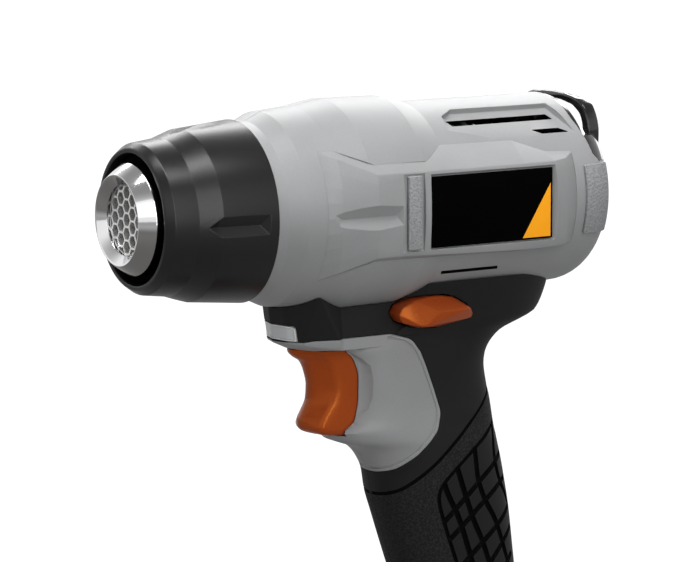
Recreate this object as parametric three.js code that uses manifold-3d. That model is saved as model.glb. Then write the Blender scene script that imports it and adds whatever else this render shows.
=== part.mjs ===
// A cordless hot air tool with a pistol grip, in millimetres.
// The pieces are drawn round the barrel: x = 0 is the rear edge of the collar, y = z = 0 is the barrel axis,
// +X is the way the air blows, +Y is the tool's left and +Z is up. The last group sets the tool on its base.
import * as THREE from 'three';
import Module from 'manifold-3d';
import { ConvexGeometry } from 'three/addons/geometries/ConvexGeometry.js';
import { mergeVertices } from 'three/addons/utils/BufferGeometryUtils.js';

const wasm = await Module();
wasm.setup();

// Walls and clearances
const fitGap = 0.3;
const slideGap = 0.5;
const shellWall = 2.5;
const coverWall = 1.8;
const coreInset = coverWall + fitGap;
const cavityInset = coreInset + shellWall;
const farOut = 90;

// Barrel
const collarLength = 41.6;
const collarRadius = 33;
const collarDrops = [[21.5, 2], [29.7, 4.7], [38.8, 5.7], [collarLength, 7.8]];
const collarMouth = collarRadius - 9.4;
const collarWall = 2.6;
const collarBore = collarRadius - collarDrops[0][1] - collarWall;
const collarGrooveHalf = 4.6;
const collarGrooveEnds = [3.5, 29];
const collarGrooveDepths = [[7, 2.4], [23, 4]];
const spigotLength = 5.6;
const spigotWall = 1.9;
const barrelRadius = 35;
const barrelRises = [[-fitGap, -2.8], [-4.4, -2.8], [-10.8, 0.2], [-23.9, 1.5], [-36.2, 3.6], [-59.5, 3.1],
  [-69.6, 0.3], [-100, 0]];
const barrelProfile = barrelRises.map(([x, rise]) => [x, barrelRadius + rise]);
const spigotRadius = barrelProfile[0][1] - shellWall - fitGap;
const tailStart = -129.8;
const tailCorner = 14;
const tailEnd = tailStart - tailCorner;
const turnSteps = 30;

// Side panels
const panelFront = -18;
const panelStep = -38;
const panelRear = -124;
const panelCrown = barrelRadius + 3.2;
const panelFrontDrop = 2.2;
const panelRearDrop = 0.2;
const panelEdgeDrop = 7;
const panelRoot = barrelRadius - 15;
const panelBulge = 80;
const panelTop = 14.6;
const panelBottom = -16.8;
const panelFlare = 7.6;
const panelBevel = 3;
const stripFront = -49;
const stripWidth = 8;
const stripHeight = 27.2;
const stripSeat = panelCrown - 2.2;
const stripProud = 0.4;
const labelFront = -60.5;
const labelLength = 51.3;
const labelHeight = 25.8;
const labelMiddle = -0.4;
const labelSeat = panelCrown - 2.1;
const labelThickness = 0.8;
const padFront = -127.8;
const padLength = 11.8;
const padHeight = 25.4;
const padMiddle = -0.8;
const padThickness = 1.2;
const padInner = 15;

// Air slots, each as rear x, front x, degrees from the top, width and depth below the barrel's radius
const slotPlaces = [[-123.5, -80, 31, 2.6, 15], [-126.5, -111.5, 46.5, 2.6, 15], [-126.2, -77, 37, 15, 1.1],
  [-96, -71.5, 134.5, 1.4, 15]];

// Rear cap and hanging arch, the arch as half width and drop below its top
const capFront = -129.4;
const capBottom = 15;
const rearOpening = 27;
const rearSlotReach = 18;
const rearSlots = [-15, -9, -3, 3, 9, 15];
const rearSlotHalf = 1.1;
const archTop = barrelRadius + 0.5;
const archRear = tailEnd + 2.8;
const archFront = tailEnd + 7.8;
const archOuter = [[23.8, 17.5], [23.9, 11.5], [22.6, 6.9], [20.4, 2.9], [14, 0.8], [5, 0]];
const archInner = [[5, 4], [12.5, 5], [17.2, 7.1], [19.2, 10.5], [19.2, 17.5]];
const deckTop = archTop - 14;

// Saddle under the barrel, each point as x, half width, z
const saddleTop = -29;
const noseBottom = -51.4;
const noseUpper = [[-12.4, 0], [-13.8, 8], [-17.3, 14.5], [-22.6, 20.6]];
const noseLower = [[-17.5, 0], [-18.8, 7], [-22.5, 12.5], [-36, 16]];
const waistFront = -36.5;
const waistRear = -61;
const waistUpperHalf = 12;
const waistLowerHalf = 16;
const hipFront = -70;
const hipRear = -112;
const hipHalf = 21.3;
const hipLowerHalf = 17.4;
const hipLowerEnd = [-108, 16.6];
const hipBottom = -49;
const tailJoint = [[-106, 19.3], [-106, 16.6]];
const tailUpper = [[hipRear, 19], [-122, 13.5], [-127.2, 7], [-129, 0]];
const tailLower = [hipLowerEnd, [-115, 12], [-121, 6], [-123.5, 0]];
const tailBottom = -46;

// Grip sections from the saddle to the foot: z, front, rear, half width
const gripSections = [[-40, -40, -119, 15], [-46, -40, -118, 16.5], [-49, -41, -113.5, 16.8], [-52, -42.5, -108, 17],
  [-57, -45, -103.5, 17], [-66, -46.5, -101.4, 17.1], [-80, -42.5, -105.5, 17.4], [-84, -38.8, -106.8, 17.5],
  [-87.6, -42, -107.8, 17.6], [-91, -51.5, -108.7, 17.6], [-98.5, -56.9, -110.4, 17.6], [-121.5, -63.9, -114.8, 17],
  [-157, -76, -119, 16.4]];
const gripSides = 20;
const gripSquareness = 0.84;
const windowOutline = [[0, -48.8], [-60.6, -47.8], [-66.2, -50.3], [-69.4, -56.6], [-77, -78.5], [-75.1, -84.5],
  [-68, -92.2], [-60.4, -98], [-52, -100.4], [0, -100.4]];

// Foot and battery rail
const coverEnd = -150;
const footShoulder = -164;
const footBottom = -178;
const footFront = -54;
const footRear = -138;
const footHalf = 34;
const neckFront = -74;
const neckRear = -118;
const neckHalf = 16.4;
const footChamfer = 6;
const railDrop = 3.8;
const railHeight = 3.4;
const railNeckHalf = 15;
const railHalf = 19;
const railFront = -59;
const railRear = -126.5;
const channelRear = -133.5;
const bladePlaces = [-10, -4, 4, 10];
const bladeReach = 7.5;
const leadTurns = [[-129.5, -165], [-121, -157.5], [-109, -151], [-99, -137], [-97, -115], [-90, -97]];
const leadTop = -82;
const leadRadius = 1.1;

// Battery
const batteryFront = -36;
const batteryRear = -140;
const batteryHalf = 36.5;
const batteryBase = -224;
const batterySplit = -197;
const batteryChamfer = 3;
const batteryWall = 2.5;
const batteryGap = 0.4;
const riserTop = -166;
const riserHalf = 30;
const cellRadius = 9.2;
const cellLength = 65;
const cellCount = 5;
const latchHalf = 13;
const latchMiddle = (footFront + batteryFront - 2.8) / 2;
const latchBlockHalf = 4.7;
const latchProud = 1.4;
const latchDepth = 10;
const latchSeatRadius = 4.2;
const latchTravel = 3.5;
const pocketFloor = riserTop - latchDepth - latchTravel - 2.5;

// Light in the nose of the saddle
const lightHalf = 10.7;
const lightTop = -42;
const lightBottom = -47.6;
const lightRear = -24;
const lightBoardHalf = 7.6;

// Trigger and selector
const triggerHalf = 10;
const triggerFace = [[-24.6, -52.2], [-28.2, -56], [-30.6, -61.5], [-31, -67], [-29.7, -73], [-27.6, -77.6],
  [-26.9, -80.4], [-28.3, -82.7], [-31.5, -84]];
const triggerTop = triggerFace[0][1];
const triggerBottom = triggerFace.at(-1)[1];
const triggerRear = -50;
const triggerTravel = 6;
const triggerEdge = [-22, -38];
const triggerFlat = 4;
const plungerRadius = 3;
const plungerReach = 6;
const switchFront = -62;
const switchLength = 22;
const switchTop = -56;
const switchBottom = -82;
const selectorSquare = 1.6;
const selectorFace = 24.2;
const selectorInner = 13;
const selectorOutline = [[-56.9, -39.8], [-58.4, -37.2], [-64, -34.9], [-69.5, -34], [-75.2, -34], [-80, -34.9],
  [-86, -38.2], [-88.8, -41.6], [-88, -43.2], [-77.4, -44.5], [-73.5, -45.4], [-64.8, -45], [-58.6, -42.8]];
const slideBar = [[-79, -42], [-67, -37]];

// Board over the grip
const boardRear = -104;
const boardTop = -50.4;
const boardThickness = 1.6;
const sinkRear = -94;
const sinkFront = -82;
const sinkTop = -42.5;
const sinkHalf = 7.6;
const finPlaces = [-7, -3.5, 0, 3.5, 7];

// Air path
const nozzleLip = 47.7;
const nozzleLipRadius = 16.3;
const nozzleSkirt = 42.2;
const nozzleRadius = 20.2;
const nozzleWall = 0.8;
const nozzleRear = 20;
const grilleRadius = 12.2;
const grilleFace = 44.6;
const grilleThickness = 1.2;
const cellPitch = 4.6;
const webWidth = 0.75;
const sleeveRadius = 18.8;
const sleeveWall = 1.2;
const sleeveFront = 38;
const sleeveRear = -46;
const supportRear = sleeveRear + 0.5;
const supportFront = sleeveRear + 4;
const formerRadius = 13;
const coilWall = 4;
const fanRadius = 26.2;
const fanFront = -70;
const fanRear = -82;
const fanBlades = 7;
const ductRear = -88;
const motorRadius = 14.2;
const motorFront = -86;
const motorRear = -120;
const shaftRadius = 1.6;

// Housing screws, as x and z
const screwPlaces = [[-17, barrelRadius - 8], [-17, 8 - barrelRadius], [-113, barrelRadius - 10],
  [-113, 10 - barrelRadius], [-94, -62], [-67, -103.5], [-88, -140], [-63, -161], [-115, -163]];
const screwRadius = 1.5;
const screwHeadRadius = 2.9;
const screwHeadDepth = -12;
const screwReach = 11;
const bossRadius = 4;

// Solids from three.js geometry
function closed(geometry) {
  const bare = geometry.clone();
  for (const name of Object.keys(bare.attributes)) {
    if (name !== 'position') bare.deleteAttribute(name);
  }
  const merged = mergeVertices(bare, 1e-4);
  const position = merged.attributes.position;
  const kept = [];
  let volume = 0;
  const [a, b, c] = [new THREE.Vector3(), new THREE.Vector3(), new THREE.Vector3()];
  for (let i = 0; i < merged.index.count; i += 3) {
    const [p, q, r] = [0, 1, 2].map((k) => merged.index.getX(i + k));
    if (p === q || q === r || r === p) continue;
    kept.push(p, q, r);
    volume += a.fromBufferAttribute(position, p).dot(
      b.fromBufferAttribute(position, q).cross(c.fromBufferAttribute(position, r)));
  }
  if (volume < 0) kept.reverse();
  return new wasm.Manifold(new wasm.Mesh({
    numProp: 3,
    vertProperties: new Float32Array(position.array),
    triVerts: new Uint32Array(kept),
  }));
}

function join(...solids) {
  return solids.reduce((sum, solid) => sum.add(solid));
}

function cut(solid, ...tools) {
  return tools.reduce((rest, tool) => rest.subtract(tool), solid);
}

function box(x0, x1, y0, y1, z0, z1) {
  const geometry = new THREE.BoxGeometry(Math.abs(x1 - x0), Math.abs(y1 - y0), Math.abs(z1 - z0));
  return closed(geometry.translate((x0 + x1) / 2, (y0 + y1) / 2, (z0 + z1) / 2));
}

function hull(points) {
  return closed(new ConvexGeometry(points.map(([x, y, z]) => new THREE.Vector3(x, y, z))));
}

function bothSides(points) {
  return points.flatMap(([x, y, z]) => [[x, y, z], [x, -y, z]]);
}

function turned(profile, steps = turnSteps) {
  const points = [...profile, profile[0]].map(([x, r]) => new THREE.Vector2(r, x));
  const lathe = new THREE.LatheGeometry(points, steps);
  return closed(lathe.rotateZ(-Math.PI / 2));
}

function ring(x0, x1, inner, outer, steps = turnSteps) {
  return turned([[x0, inner], [x1, inner], [x1, outer], [x0, outer]], steps);
}

function rod(radius, from, to, sides = 16) {
  const [start, end] = [new THREE.Vector3(...from), new THREE.Vector3(...to)];
  const along = end.clone().sub(start);
  const geometry = new THREE.CylinderGeometry(radius, radius, along.length(), sides);
  geometry.applyQuaternion(new THREE.Quaternion().setFromUnitVectors(
    new THREE.Vector3(0, 1, 0), along.clone().normalize()));
  return closed(geometry.translate(...start.add(end).multiplyScalar(0.5).toArray()));
}

function acrossY(outline, y0, y1) {
  const shape = new THREE.Shape(outline.map(([x, z]) => new THREE.Vector2(x, z)));
  const geometry = new THREE.ExtrudeGeometry(shape, { depth: y1 - y0, bevelEnabled: false });
  return closed(geometry.rotateX(Math.PI / 2).translate(0, y1, 0));
}

function alongX(outline, x0, x1) {
  const shape = new THREE.Shape(outline.map(([y, z]) => new THREE.Vector2(y, z)));
  const geometry = new THREE.ExtrudeGeometry(shape, { depth: x1 - x0, bevelEnabled: false });
  const turn = new THREE.Matrix4().makeBasis(
    new THREE.Vector3(0, 1, 0), new THREE.Vector3(0, 0, 1), new THREE.Vector3(1, 0, 0));
  return closed(geometry.applyMatrix4(turn).translate(x0, 0, 0));
}

function leftOf(solid) {
  return solid.intersect(box(-3 * farOut, farOut, fitGap / 2, farOut, -3 * farOut, farOut));
}

function rightOf(solid) {
  return solid.intersect(box(-3 * farOut, farOut, -farOut, -fitGap / 2, -3 * farOut, farOut));
}

function grown(outline, distance) {
  const middle = outline.reduce(([x, z], point) => [x + point[0] / outline.length, z + point[1] / outline.length],
    [0, 0]);
  return outline.map(([x, z]) => {
    const reach = Math.hypot(x - middle[0], z - middle[1]);
    const scale = (reach + distance) / reach;
    return [middle[0] + (x - middle[0]) * scale, middle[1] + (z - middle[1]) * scale];
  });
}

// Outer forms, each drawn smaller all round by an inset
function barrelForm(inset, front = -fitGap) {
  const steps = 5;
  const corner = Array.from({ length: steps + 1 }, (_, i) => {
    const turn = (Math.PI / 2) * (i / steps);
    return [tailStart - (tailCorner - inset) * Math.sin(turn),
      barrelRadius - tailCorner + (tailCorner - inset) * Math.cos(turn)];
  });
  const side = barrelProfile.map(([x, r]) => [x, r - inset]);
  side[0][0] = front;
  return turned([[front, 0], ...side, ...corner, [tailEnd + inset, 0]]);
}

function barrelAt(x) {
  const i = barrelProfile.findIndex(([rear]) => rear <= x);
  const [[x0, r0], [x1, r1]] = [barrelProfile[i - 1], barrelProfile[i]];
  return r0 + ((r1 - r0) * (x - x0)) / (x1 - x0);
}

function panelStation(x, crown, bottom, top) {
  const steps = 4;
  const arc = Array.from({ length: steps + 1 }, (_, i) => {
    const z = bottom + ((top - bottom) * i) / steps;
    return [x, crown - (z * z) / (2 * panelBulge), z];
  });
  return [...arc, [x, crown - panelEdgeDrop, bottom - panelBevel], [x, crown - panelEdgeDrop, top + panelBevel],
    [x, panelRoot, bottom], [x, panelRoot, top]];
}

function sidePanels() {
  const front = panelStation(panelFront, panelCrown - panelFrontDrop, panelBottom - panelFlare + 1,
    panelTop + panelFlare);
  const step = panelStation(panelStep, panelCrown, panelBottom, panelTop);
  const rear = panelStation(panelRear, panelCrown - panelRearDrop, panelBottom - 1, panelTop);
  const left = join(hull([...front, ...step]), hull([...step, ...rear]));
  return join(left, left.mirror([0, 1, 0]));
}

function saddleForm(inset) {
  const at = (points, z) => points.map(([x, half]) => [x, Math.max(half - inset, 0), z]);
  const back = (points) => points.map(([x, y, z]) => [x - inset, y, z]);
  const forth = (points) => points.map(([x, y, z]) => [x + inset, y, z]);
  const floor = noseBottom + inset;
  const waist = [[waistFront, waistUpperHalf], [waistRear, waistUpperHalf]];
  const lowerWaist = [[waistFront, waistLowerHalf], [waistRear, waistLowerHalf]];
  const nose = hull(bothSides([...back(at(noseUpper, saddleTop)), ...back(at(noseLower, floor)),
    ...at([waist[0]], saddleTop), ...at([lowerWaist[0]], floor)]));
  const middle = hull(bothSides([...at(waist, saddleTop), ...at(lowerWaist, floor)]));
  const hip = hull(bothSides([
    ...at([[waistRear + 1, waistUpperHalf + 1], [hipFront, hipHalf], tailUpper[0]], saddleTop),
    ...at([[waistRear + 1, waistLowerHalf], [hipFront, hipLowerHalf], hipLowerEnd], hipBottom + inset)]));
  const tail = hull(bothSides([...at([tailJoint[0]], saddleTop), ...forth(at(tailUpper, saddleTop)),
    ...at([tailJoint[1]], tailBottom + inset), ...forth(at(tailLower, tailBottom + inset))]));
  return join(nose, middle, hip, tail);
}

function gripForm(inset) {
  const levels = gripSections.length - 1;
  const geometry = new THREE.CylinderGeometry(1, 1, 1, gripSides, levels);
  const position = geometry.attributes.position;
  const bulge = (value) => Math.sign(value) * Math.abs(value) ** gripSquareness;
  for (let i = 0; i < position.count; i++) {
    const [z, front, rear, half] = gripSections[Math.round((0.5 - position.getY(i)) * levels)];
    const depth = (front - rear) / 2 - inset;
    position.setXYZ(i, (front + rear) / 2 + bulge(position.getX(i)) * depth,
      bulge(position.getZ(i)) * (half - inset), z);
  }
  return closed(geometry);
}

function footForm(inset, bottom) {
  const plan = (front, rear, half, chamfer, z) => bothSides([[front - inset, half - chamfer - inset, z],
    [front - chamfer - inset, half - inset, z], [rear + chamfer + inset, half - inset, z],
    [rear + inset, half - chamfer - inset, z]]);
  return hull([...plan(neckFront, neckRear, neckHalf, footChamfer, coverEnd),
    ...plan(footFront, footRear, footHalf, footChamfer, footShoulder),
    ...plan(footFront, footRear, footHalf, footChamfer, bottom)]);
}

// Cuts that several pieces share
const triggerPocket = box(switchFront + 2, 0, -triggerHalf - slideGap, triggerHalf + slideGap,
  triggerBottom - slideGap, triggerTop + slideGap);
const lightWindow = (gap) => box(lightRear, 0, -lightHalf + gap, lightHalf - gap, lightBottom + gap, lightTop - gap);
const selectorTunnel = acrossY(grown(selectorOutline, slideGap + 0.2), -farOut, farOut);
const windowPrism = (gap) => acrossY(windowOutline.map(([x, z], i) => [x - (i > 1 && i < 8 ? gap : 0),
  z + (i < 3 ? gap : i > 6 ? -gap : 0)]), -farOut, farOut);
const airSlots = (() => {
  const slot = (x0, x1, degrees, width, floor) => {
    const geometry = new THREE.BoxGeometry(x1 - x0, width, farOut);
    geometry.translate((x0 + x1) / 2, 0, floor + farOut / 2).rotateX((degrees * Math.PI) / 180);
    return closed(geometry);
  };
  return join(...slotPlaces.flatMap(([rear, front, degrees, width, depth]) => [-1, 1].map(
    (side) => slot(rear, front, side * degrees, width, barrelRadius - depth))));
})();
const capZone = (gap) => join(box(-farOut * 2, capFront - gap, -farOut, farOut, capBottom + gap, farOut),
  ring(tailEnd - 5, tailStart, 0, rearOpening - gap, 28));

// Screws: heads sink into the right half, threads end in the left half
function screwCuts(clearance) {
  return join(...screwPlaces.map(([x, z]) => join(
    rod(screwRadius + clearance, [x, screwHeadDepth - 1, z], [x, screwReach + clearance, z], 8),
    rod(screwHeadRadius + clearance, [x, -farOut, z], [x, screwHeadDepth, z], 10))));
}

function housingBoth() {
  const core = join(saddleForm(coreInset), gripForm(coreInset));
  const full = join(saddleForm(0), gripForm(0));
  const outer = join(barrelForm(0), sidePanels(), core, full.intersect(windowPrism(0)), footForm(0, footBottom));
  const bosses = join(...screwPlaces.map(([x, z]) => rod(bossRadius, [x, -farOut, z], [x, farOut, z], 10)));
  const cavity = join(barrelForm(shellWall, 1), saddleForm(cavityInset), gripForm(cavityInset),
    footForm(shellWall, footBottom + railDrop + railHeight + shellWall));
  const channel = join(
    box(channelRear, 0, -railNeckHalf - slideGap, railNeckHalf + slideGap, footBottom - 1, footBottom + railDrop + 1),
    box(channelRear, 0, -railHalf - slideGap, railHalf + slideGap, footBottom + railDrop,
      footBottom + railDrop + railHeight + slideGap));
  const toothNotch = box(footFront - 4, 0, -6.5, 6.5, footBottom - 1, footBottom + 9.5);
  const leadHole = box(channelRear, channelRear + 5, -6, 6, footBottom + 5, footShoulder);
  const seats = [];
  for (const side of [-1, 1]) {
    seats.push(box(stripFront - stripWidth - fitGap, stripFront + fitGap, side * stripSeat, side * farOut,
      -stripHeight / 2 - fitGap, stripHeight / 2 + fitGap));
    seats.push(box(labelFront - labelLength - fitGap, labelFront + fitGap, side * labelSeat, side * farOut,
      labelMiddle - labelHeight / 2 - fitGap, labelMiddle + labelHeight / 2 + fitGap));
  }
  const shell = cut(outer, cut(cavity, bosses));
  return cut(shell, channel, toothNotch, leadHole, ...seats, triggerPocket, airSlots, selectorTunnel,
    box(lightRear - 2, 0, -lightBoardHalf - 0.4, lightBoardHalf + 0.4, lightBottom + 0.5, lightTop - 0.5),
    capZone(0), screwCuts(fitGap));
}

function coverBoth() {
  const skin = cut(join(saddleForm(0), gripForm(0)), join(saddleForm(coverWall), gripForm(coverWall)));
  return cut(skin, barrelForm(-fitGap), windowPrism(fitGap), selectorTunnel, lightWindow(0), triggerPocket,
    footForm(-fitGap, footBottom), box(-2 * farOut, 0, -farOut, farOut, -3 * farOut, coverEnd + fitGap),
    screwCuts(slideGap + 0.3));
}

// Barrel pieces
function collar() {
  const outer = [[0, collarRadius], ...collarDrops.map(([x, drop]) => [x, collarRadius - drop])];
  const [, shoulder, waist, brim] = outer;
  const inner = [[collarLength, collarMouth], [brim[0], collarMouth - 0.3], [waist[0] - 1.2, waist[1] - collarWall],
    [shoulder[0] - 1, collarBore], [nozzleRear - 8, collarBore], [0, spigotRadius - spigotWall],
    [-spigotLength, spigotRadius - spigotWall]];
  const spigot = [[-spigotLength, spigotRadius], [0, spigotRadius]];
  const groove = hull([...collarGrooveEnds.flatMap((x) => [-1, 1].map(
    (side) => [x, collarRadius + 1, side * collarGrooveHalf])),
  ...collarGrooveDepths.map(([x, depth]) => [x, collarRadius - depth, 0])]);
  const turnedBody = turned([...outer, ...inner, ...spigot]);
  const grooves = [0, 1, 2, 3].map((i) => groove.rotate([90 * i, 0, 0]));
  return cut(turnedBody, ...grooves);
}

function nozzle() {
  const seat = grilleRadius + fitGap;
  return turned([[nozzleLip, nozzleLipRadius], [nozzleSkirt, nozzleRadius], [nozzleRear, nozzleRadius],
    [nozzleRear, nozzleRadius + 4.4], [nozzleRear - 1.2, nozzleRadius + 4.4],
    [nozzleRear - 1.2, nozzleRadius - nozzleWall], [nozzleSkirt - 0.6, nozzleRadius - nozzleWall],
    [nozzleLip - 1.7, nozzleLipRadius - 0.2], [grilleFace - 0.4, seat + nozzleWall],
    [grilleFace - 4, seat + nozzleWall], [grilleFace - 4, seat], [grilleFace + 0.5, seat],
    [nozzleLip, nozzleLipRadius - 0.35]]);
}

function grille() {
  const shape = new THREE.Shape();
  shape.absarc(0, 0, grilleRadius, 0, 2 * Math.PI);
  const hole = (cellPitch - webWidth) / Math.sqrt(3);
  const reach = Math.ceil(grilleRadius / cellPitch);
  for (let column = -reach - 1; column <= reach + 1; column++) {
    for (let row = -reach - 1; row <= reach + 1; row++) {
      const y = (column * cellPitch * Math.sqrt(3)) / 2;
      const z = (row + (column % 2 ? 0.5 : 0)) * cellPitch;
      if (Math.hypot(y, z) + hole > grilleRadius - 0.4) continue;
      const corners = [0, 1, 2, 3, 4, 5].map((i) => new THREE.Vector2(
        y + hole * Math.cos((i * Math.PI) / 3), z + hole * Math.sin((i * Math.PI) / 3)));
      shape.holes.push(new THREE.Path(corners));
    }
  }
  const geometry = new THREE.ExtrudeGeometry(shape, { depth: grilleThickness, bevelEnabled: false, curveSegments: 14 });
  const turn = new THREE.Matrix4().makeBasis(
    new THREE.Vector3(0, 1, 0), new THREE.Vector3(0, 0, 1), new THREE.Vector3(1, 0, 0));
  return closed(geometry.applyMatrix4(turn).translate(grilleFace - grilleThickness, 0, 0));
}

function heaterSleeve() {
  return ring(sleeveRear, sleeveFront, sleeveRadius - sleeveWall, sleeveRadius);
}

function heaterFormer() {
  const arms = 3;
  const bars = Array.from({ length: arms }, (_, i) => {
    const bar = new THREE.BoxGeometry(sleeveFront - sleeveRear - 14, 2 * formerRadius, 3);
    return closed(bar.translate((sleeveFront + sleeveRear) / 2 - 2, 0, 0).rotateX((i * Math.PI) / arms));
  });
  return join(...bars);
}

function heatingCoil() {
  return ring(sleeveRear + 10, sleeveFront - 10, formerRadius + fitGap, formerRadius + fitGap + coilWall, 28);
}

function frontInsulator() {
  return ring(nozzleRear - 6, nozzleRear - 1.2 - fitGap, sleeveRadius + fitGap, collarBore - fitGap);
}

function supportRing() {
  return ring(supportRear, supportFront, sleeveRadius + fitGap, barrelAt(supportRear) - shellWall - fitGap);
}

function thermalCutout() {
  const height = sleeveRadius + fitGap + 3;
  return rod(3, [supportFront + fitGap, 0, height], [supportFront + 11, 0, height], 14);
}

function fanDuct() {
  const outer = fanRadius + 2.6;
  const wall = 1.6;
  const flange = barrelRadius - shellWall - fitGap;
  const throat = sleeveRear - 16;
  return turned([[sleeveRear - fitGap, sleeveRadius - 1.4], [sleeveRear - fitGap, sleeveRadius + 1.6], [throat, outer],
    [ductRear + 2, outer], [ductRear + 2, flange], [ductRear, flange], [ductRear, outer - wall],
    [throat - 0.5, outer - wall]]);
}

function fan() {
  const hub = 9;
  const bore = shaftRadius + 0.1;
  const blade = hull([[fanFront, 1, hub - 1], [fanFront - 1.2, 1, hub - 1], [fanRear, 7, hub - 1],
    [fanRear + 1.2, 7, hub - 1], [fanFront, 0, fanRadius - 1], [fanFront - 1.2, 0, fanRadius - 1],
    [fanRear, 10, fanRadius - 3.2], [fanRear + 1.2, 10, fanRadius - 3.2]]);
  const blades = Array.from({ length: fanBlades }, (_, i) => blade.rotate([(360 * i) / fanBlades, 0, 0]));
  return cut(join(ring(fanRear, fanFront, 0, hub, 18), ...blades), ring(fanRear - 1, fanFront + 1, 0, bore, 16));
}

function motorShaft() {
  return ring(motorRear - 3, fanFront + 3, 0, shaftRadius, 16);
}

function motor() {
  return cut(join(ring(motorRear, motorFront, 0, motorRadius, 28), ring(motorFront, motorFront + 1.8, 0, 5, 20)),
    ring(motorRear - 1, motorFront + 3, 0, shaftRadius + fitGap, 16));
}

function motorMount() {
  const reach = barrelRadius - shellWall - fitGap;
  const [rear, front] = [motorRear + 12, motorFront - 6];
  const band = ring(rear, front, motorRadius + fitGap, motorRadius + 2.3, 28);
  const ribs = [45, 135].map((degrees) => closed(new THREE.BoxGeometry(front - rear, 2 * reach - 1, 2.4)
    .translate((rear + front) / 2, 0, 0).rotateX((degrees * Math.PI) / 180)));
  return cut(join(band, ...ribs), ring(rear - 2, front + 2, 0, motorRadius + fitGap, 28));
}

function rearCap() {
  const wall = shellWall;
  const dome = cut(barrelForm(0), barrelForm(wall)).intersect(capZone(fitGap));
  const lowered = cut(dome, box(-2 * farOut, 0, -farOut, farOut, deckTop, farOut));
  const deck = barrelForm(0).intersect(box(-2 * farOut, capFront - fitGap, -farOut, farOut, deckTop - wall, deckTop));
  const upright = ring(capFront - fitGap - wall, capFront - fitGap, 0, barrelRadius, turnSteps)
    .intersect(box(-2 * farOut, 0, -farOut, farOut, deckTop - wall, farOut));
  const [outer, inner] = [archOuter, archInner].map((line) => line.map(([y, drop]) => [y, archTop - drop]));
  const flipped = (line) => line.map(([y, z]) => [-y, z]).reverse();
  const archOutline = [...outer, ...flipped(outer), ...flipped(inner), ...inner];
  const arch = cut(alongX(archOutline, archRear, archFront), barrelForm(wall)).intersect(capZone(fitGap));
  const slots = rearSlots.map((z) => {
    const half = Math.sqrt(rearSlotReach ** 2 - z * z);
    return box(tailEnd - 2, tailEnd + 4, -half, half, z - rearSlotHalf, z + rearSlotHalf);
  });
  return cut(join(lowered, deck, upright, arch), ...slots);
}

function intakeScreen() {
  const rear = tailEnd + shellWall + fitGap;
  return ring(rear, rear + 1, 0, deckTop - shellWall - fitGap, 28);
}

// Trim on each side of the housing
function sideTrim(side) {
  const skin = cut(barrelForm(-padThickness), barrelForm(-fitGap));
  const pad = skin.intersect(box(padFront - padLength, padFront, side * padInner, side * farOut,
    padMiddle - padHeight / 2, padMiddle + padHeight / 2));
  const strip = box(stripFront - stripWidth, stripFront, side * (stripSeat + fitGap), side * (panelCrown + stripProud),
    -stripHeight / 2, stripHeight / 2);
  const label = box(labelFront - labelLength, labelFront, side * (labelSeat + fitGap),
    side * (labelSeat + fitGap + labelThickness), labelMiddle - labelHeight / 2, labelMiddle + labelHeight / 2);
  return { pad, strip, label };
}

// Saddle and grip pieces
function lightLens() {
  return cut(saddleForm(0), saddleForm(coverWall)).intersect(lightWindow(fitGap));
}

function lightBoard() {
  return box(lightRear + 0.8, lightRear + 2.4, -lightBoardHalf, lightBoardHalf, lightBottom + 0.8, lightTop - 0.8);
}

function trigger() {
  const outline = [...triggerFace, [triggerRear, triggerBottom], [triggerRear, triggerTop]];
  const blade = acrossY(outline, -triggerHalf, triggerHalf);
  const middle = (triggerTop + triggerBottom) / 2;
  const plunger = rod(plungerRadius, [triggerRear + 1, 0, middle], [switchFront - plungerReach, 0, middle], 14);
  const [front, rear] = triggerEdge;
  const edge = (side) => hull([triggerTop + 1, triggerBottom - 1].flatMap((z) => [[front, side * triggerFlat, z],
    [front, side * (triggerHalf + 1), z], [rear, side * (triggerHalf + 1), z]]));
  return cut(blade, edge(1), edge(-1)).add(plunger);
}

function triggerSwitch() {
  const middle = (triggerTop + triggerBottom) / 2;
  const body = box(switchFront - switchLength, switchFront, -farOut, farOut, switchBottom, switchTop)
    .intersect(gripForm(cavityInset + fitGap));
  return cut(body, rod(plungerRadius + slideGap, [switchFront + 1, 0, middle],
    [switchFront - plungerReach - triggerTravel - 1, 0, middle], 14));
}

function triggerSpring() {
  const middle = (triggerTop + triggerBottom) / 2;
  return ring(switchFront + fitGap, triggerRear - fitGap, plungerRadius + fitGap, plungerRadius + 1.5, 14)
    .translate([0, 0, middle]);
}

function selector() {
  const wing = (side) => {
    const base = selectorOutline.map(([x, z]) => [x, side * selectorInner, z]);
    const shoulder = selectorOutline.map(([x, z]) => [x, side * (selectorFace - 4), z]);
    const face = grown(selectorOutline, -selectorSquare - 1).map(([x, z]) => [x, side * selectorFace, z]);
    return hull([...base, ...shoulder, ...face]);
  };
  const [[rear, low], [front, high]] = slideBar;
  return join(wing(1), wing(-1), box(rear, front, -selectorInner - 1, selectorInner + 1, low, high));
}

function controlBoard() {
  return box(boardRear, switchFront + 1, -farOut, farOut, boardTop - boardThickness, boardTop)
    .intersect(gripForm(cavityInset + fitGap));
}

function selectorSwitch() {
  const [[rear, low], [front]] = slideBar;
  return box(rear + 1, front - 1, -5, 5, boardTop + fitGap, low - fitGap);
}

function heatSink() {
  const base = boardTop + 1.9;
  const fins = finPlaces.map((y) => box(sinkRear, sinkFront, y - 0.6, y + 0.6, base - 0.5, sinkTop));
  return join(box(sinkRear, sinkFront, -sinkHalf, sinkHalf, boardTop + fitGap, base), ...fins);
}

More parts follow.
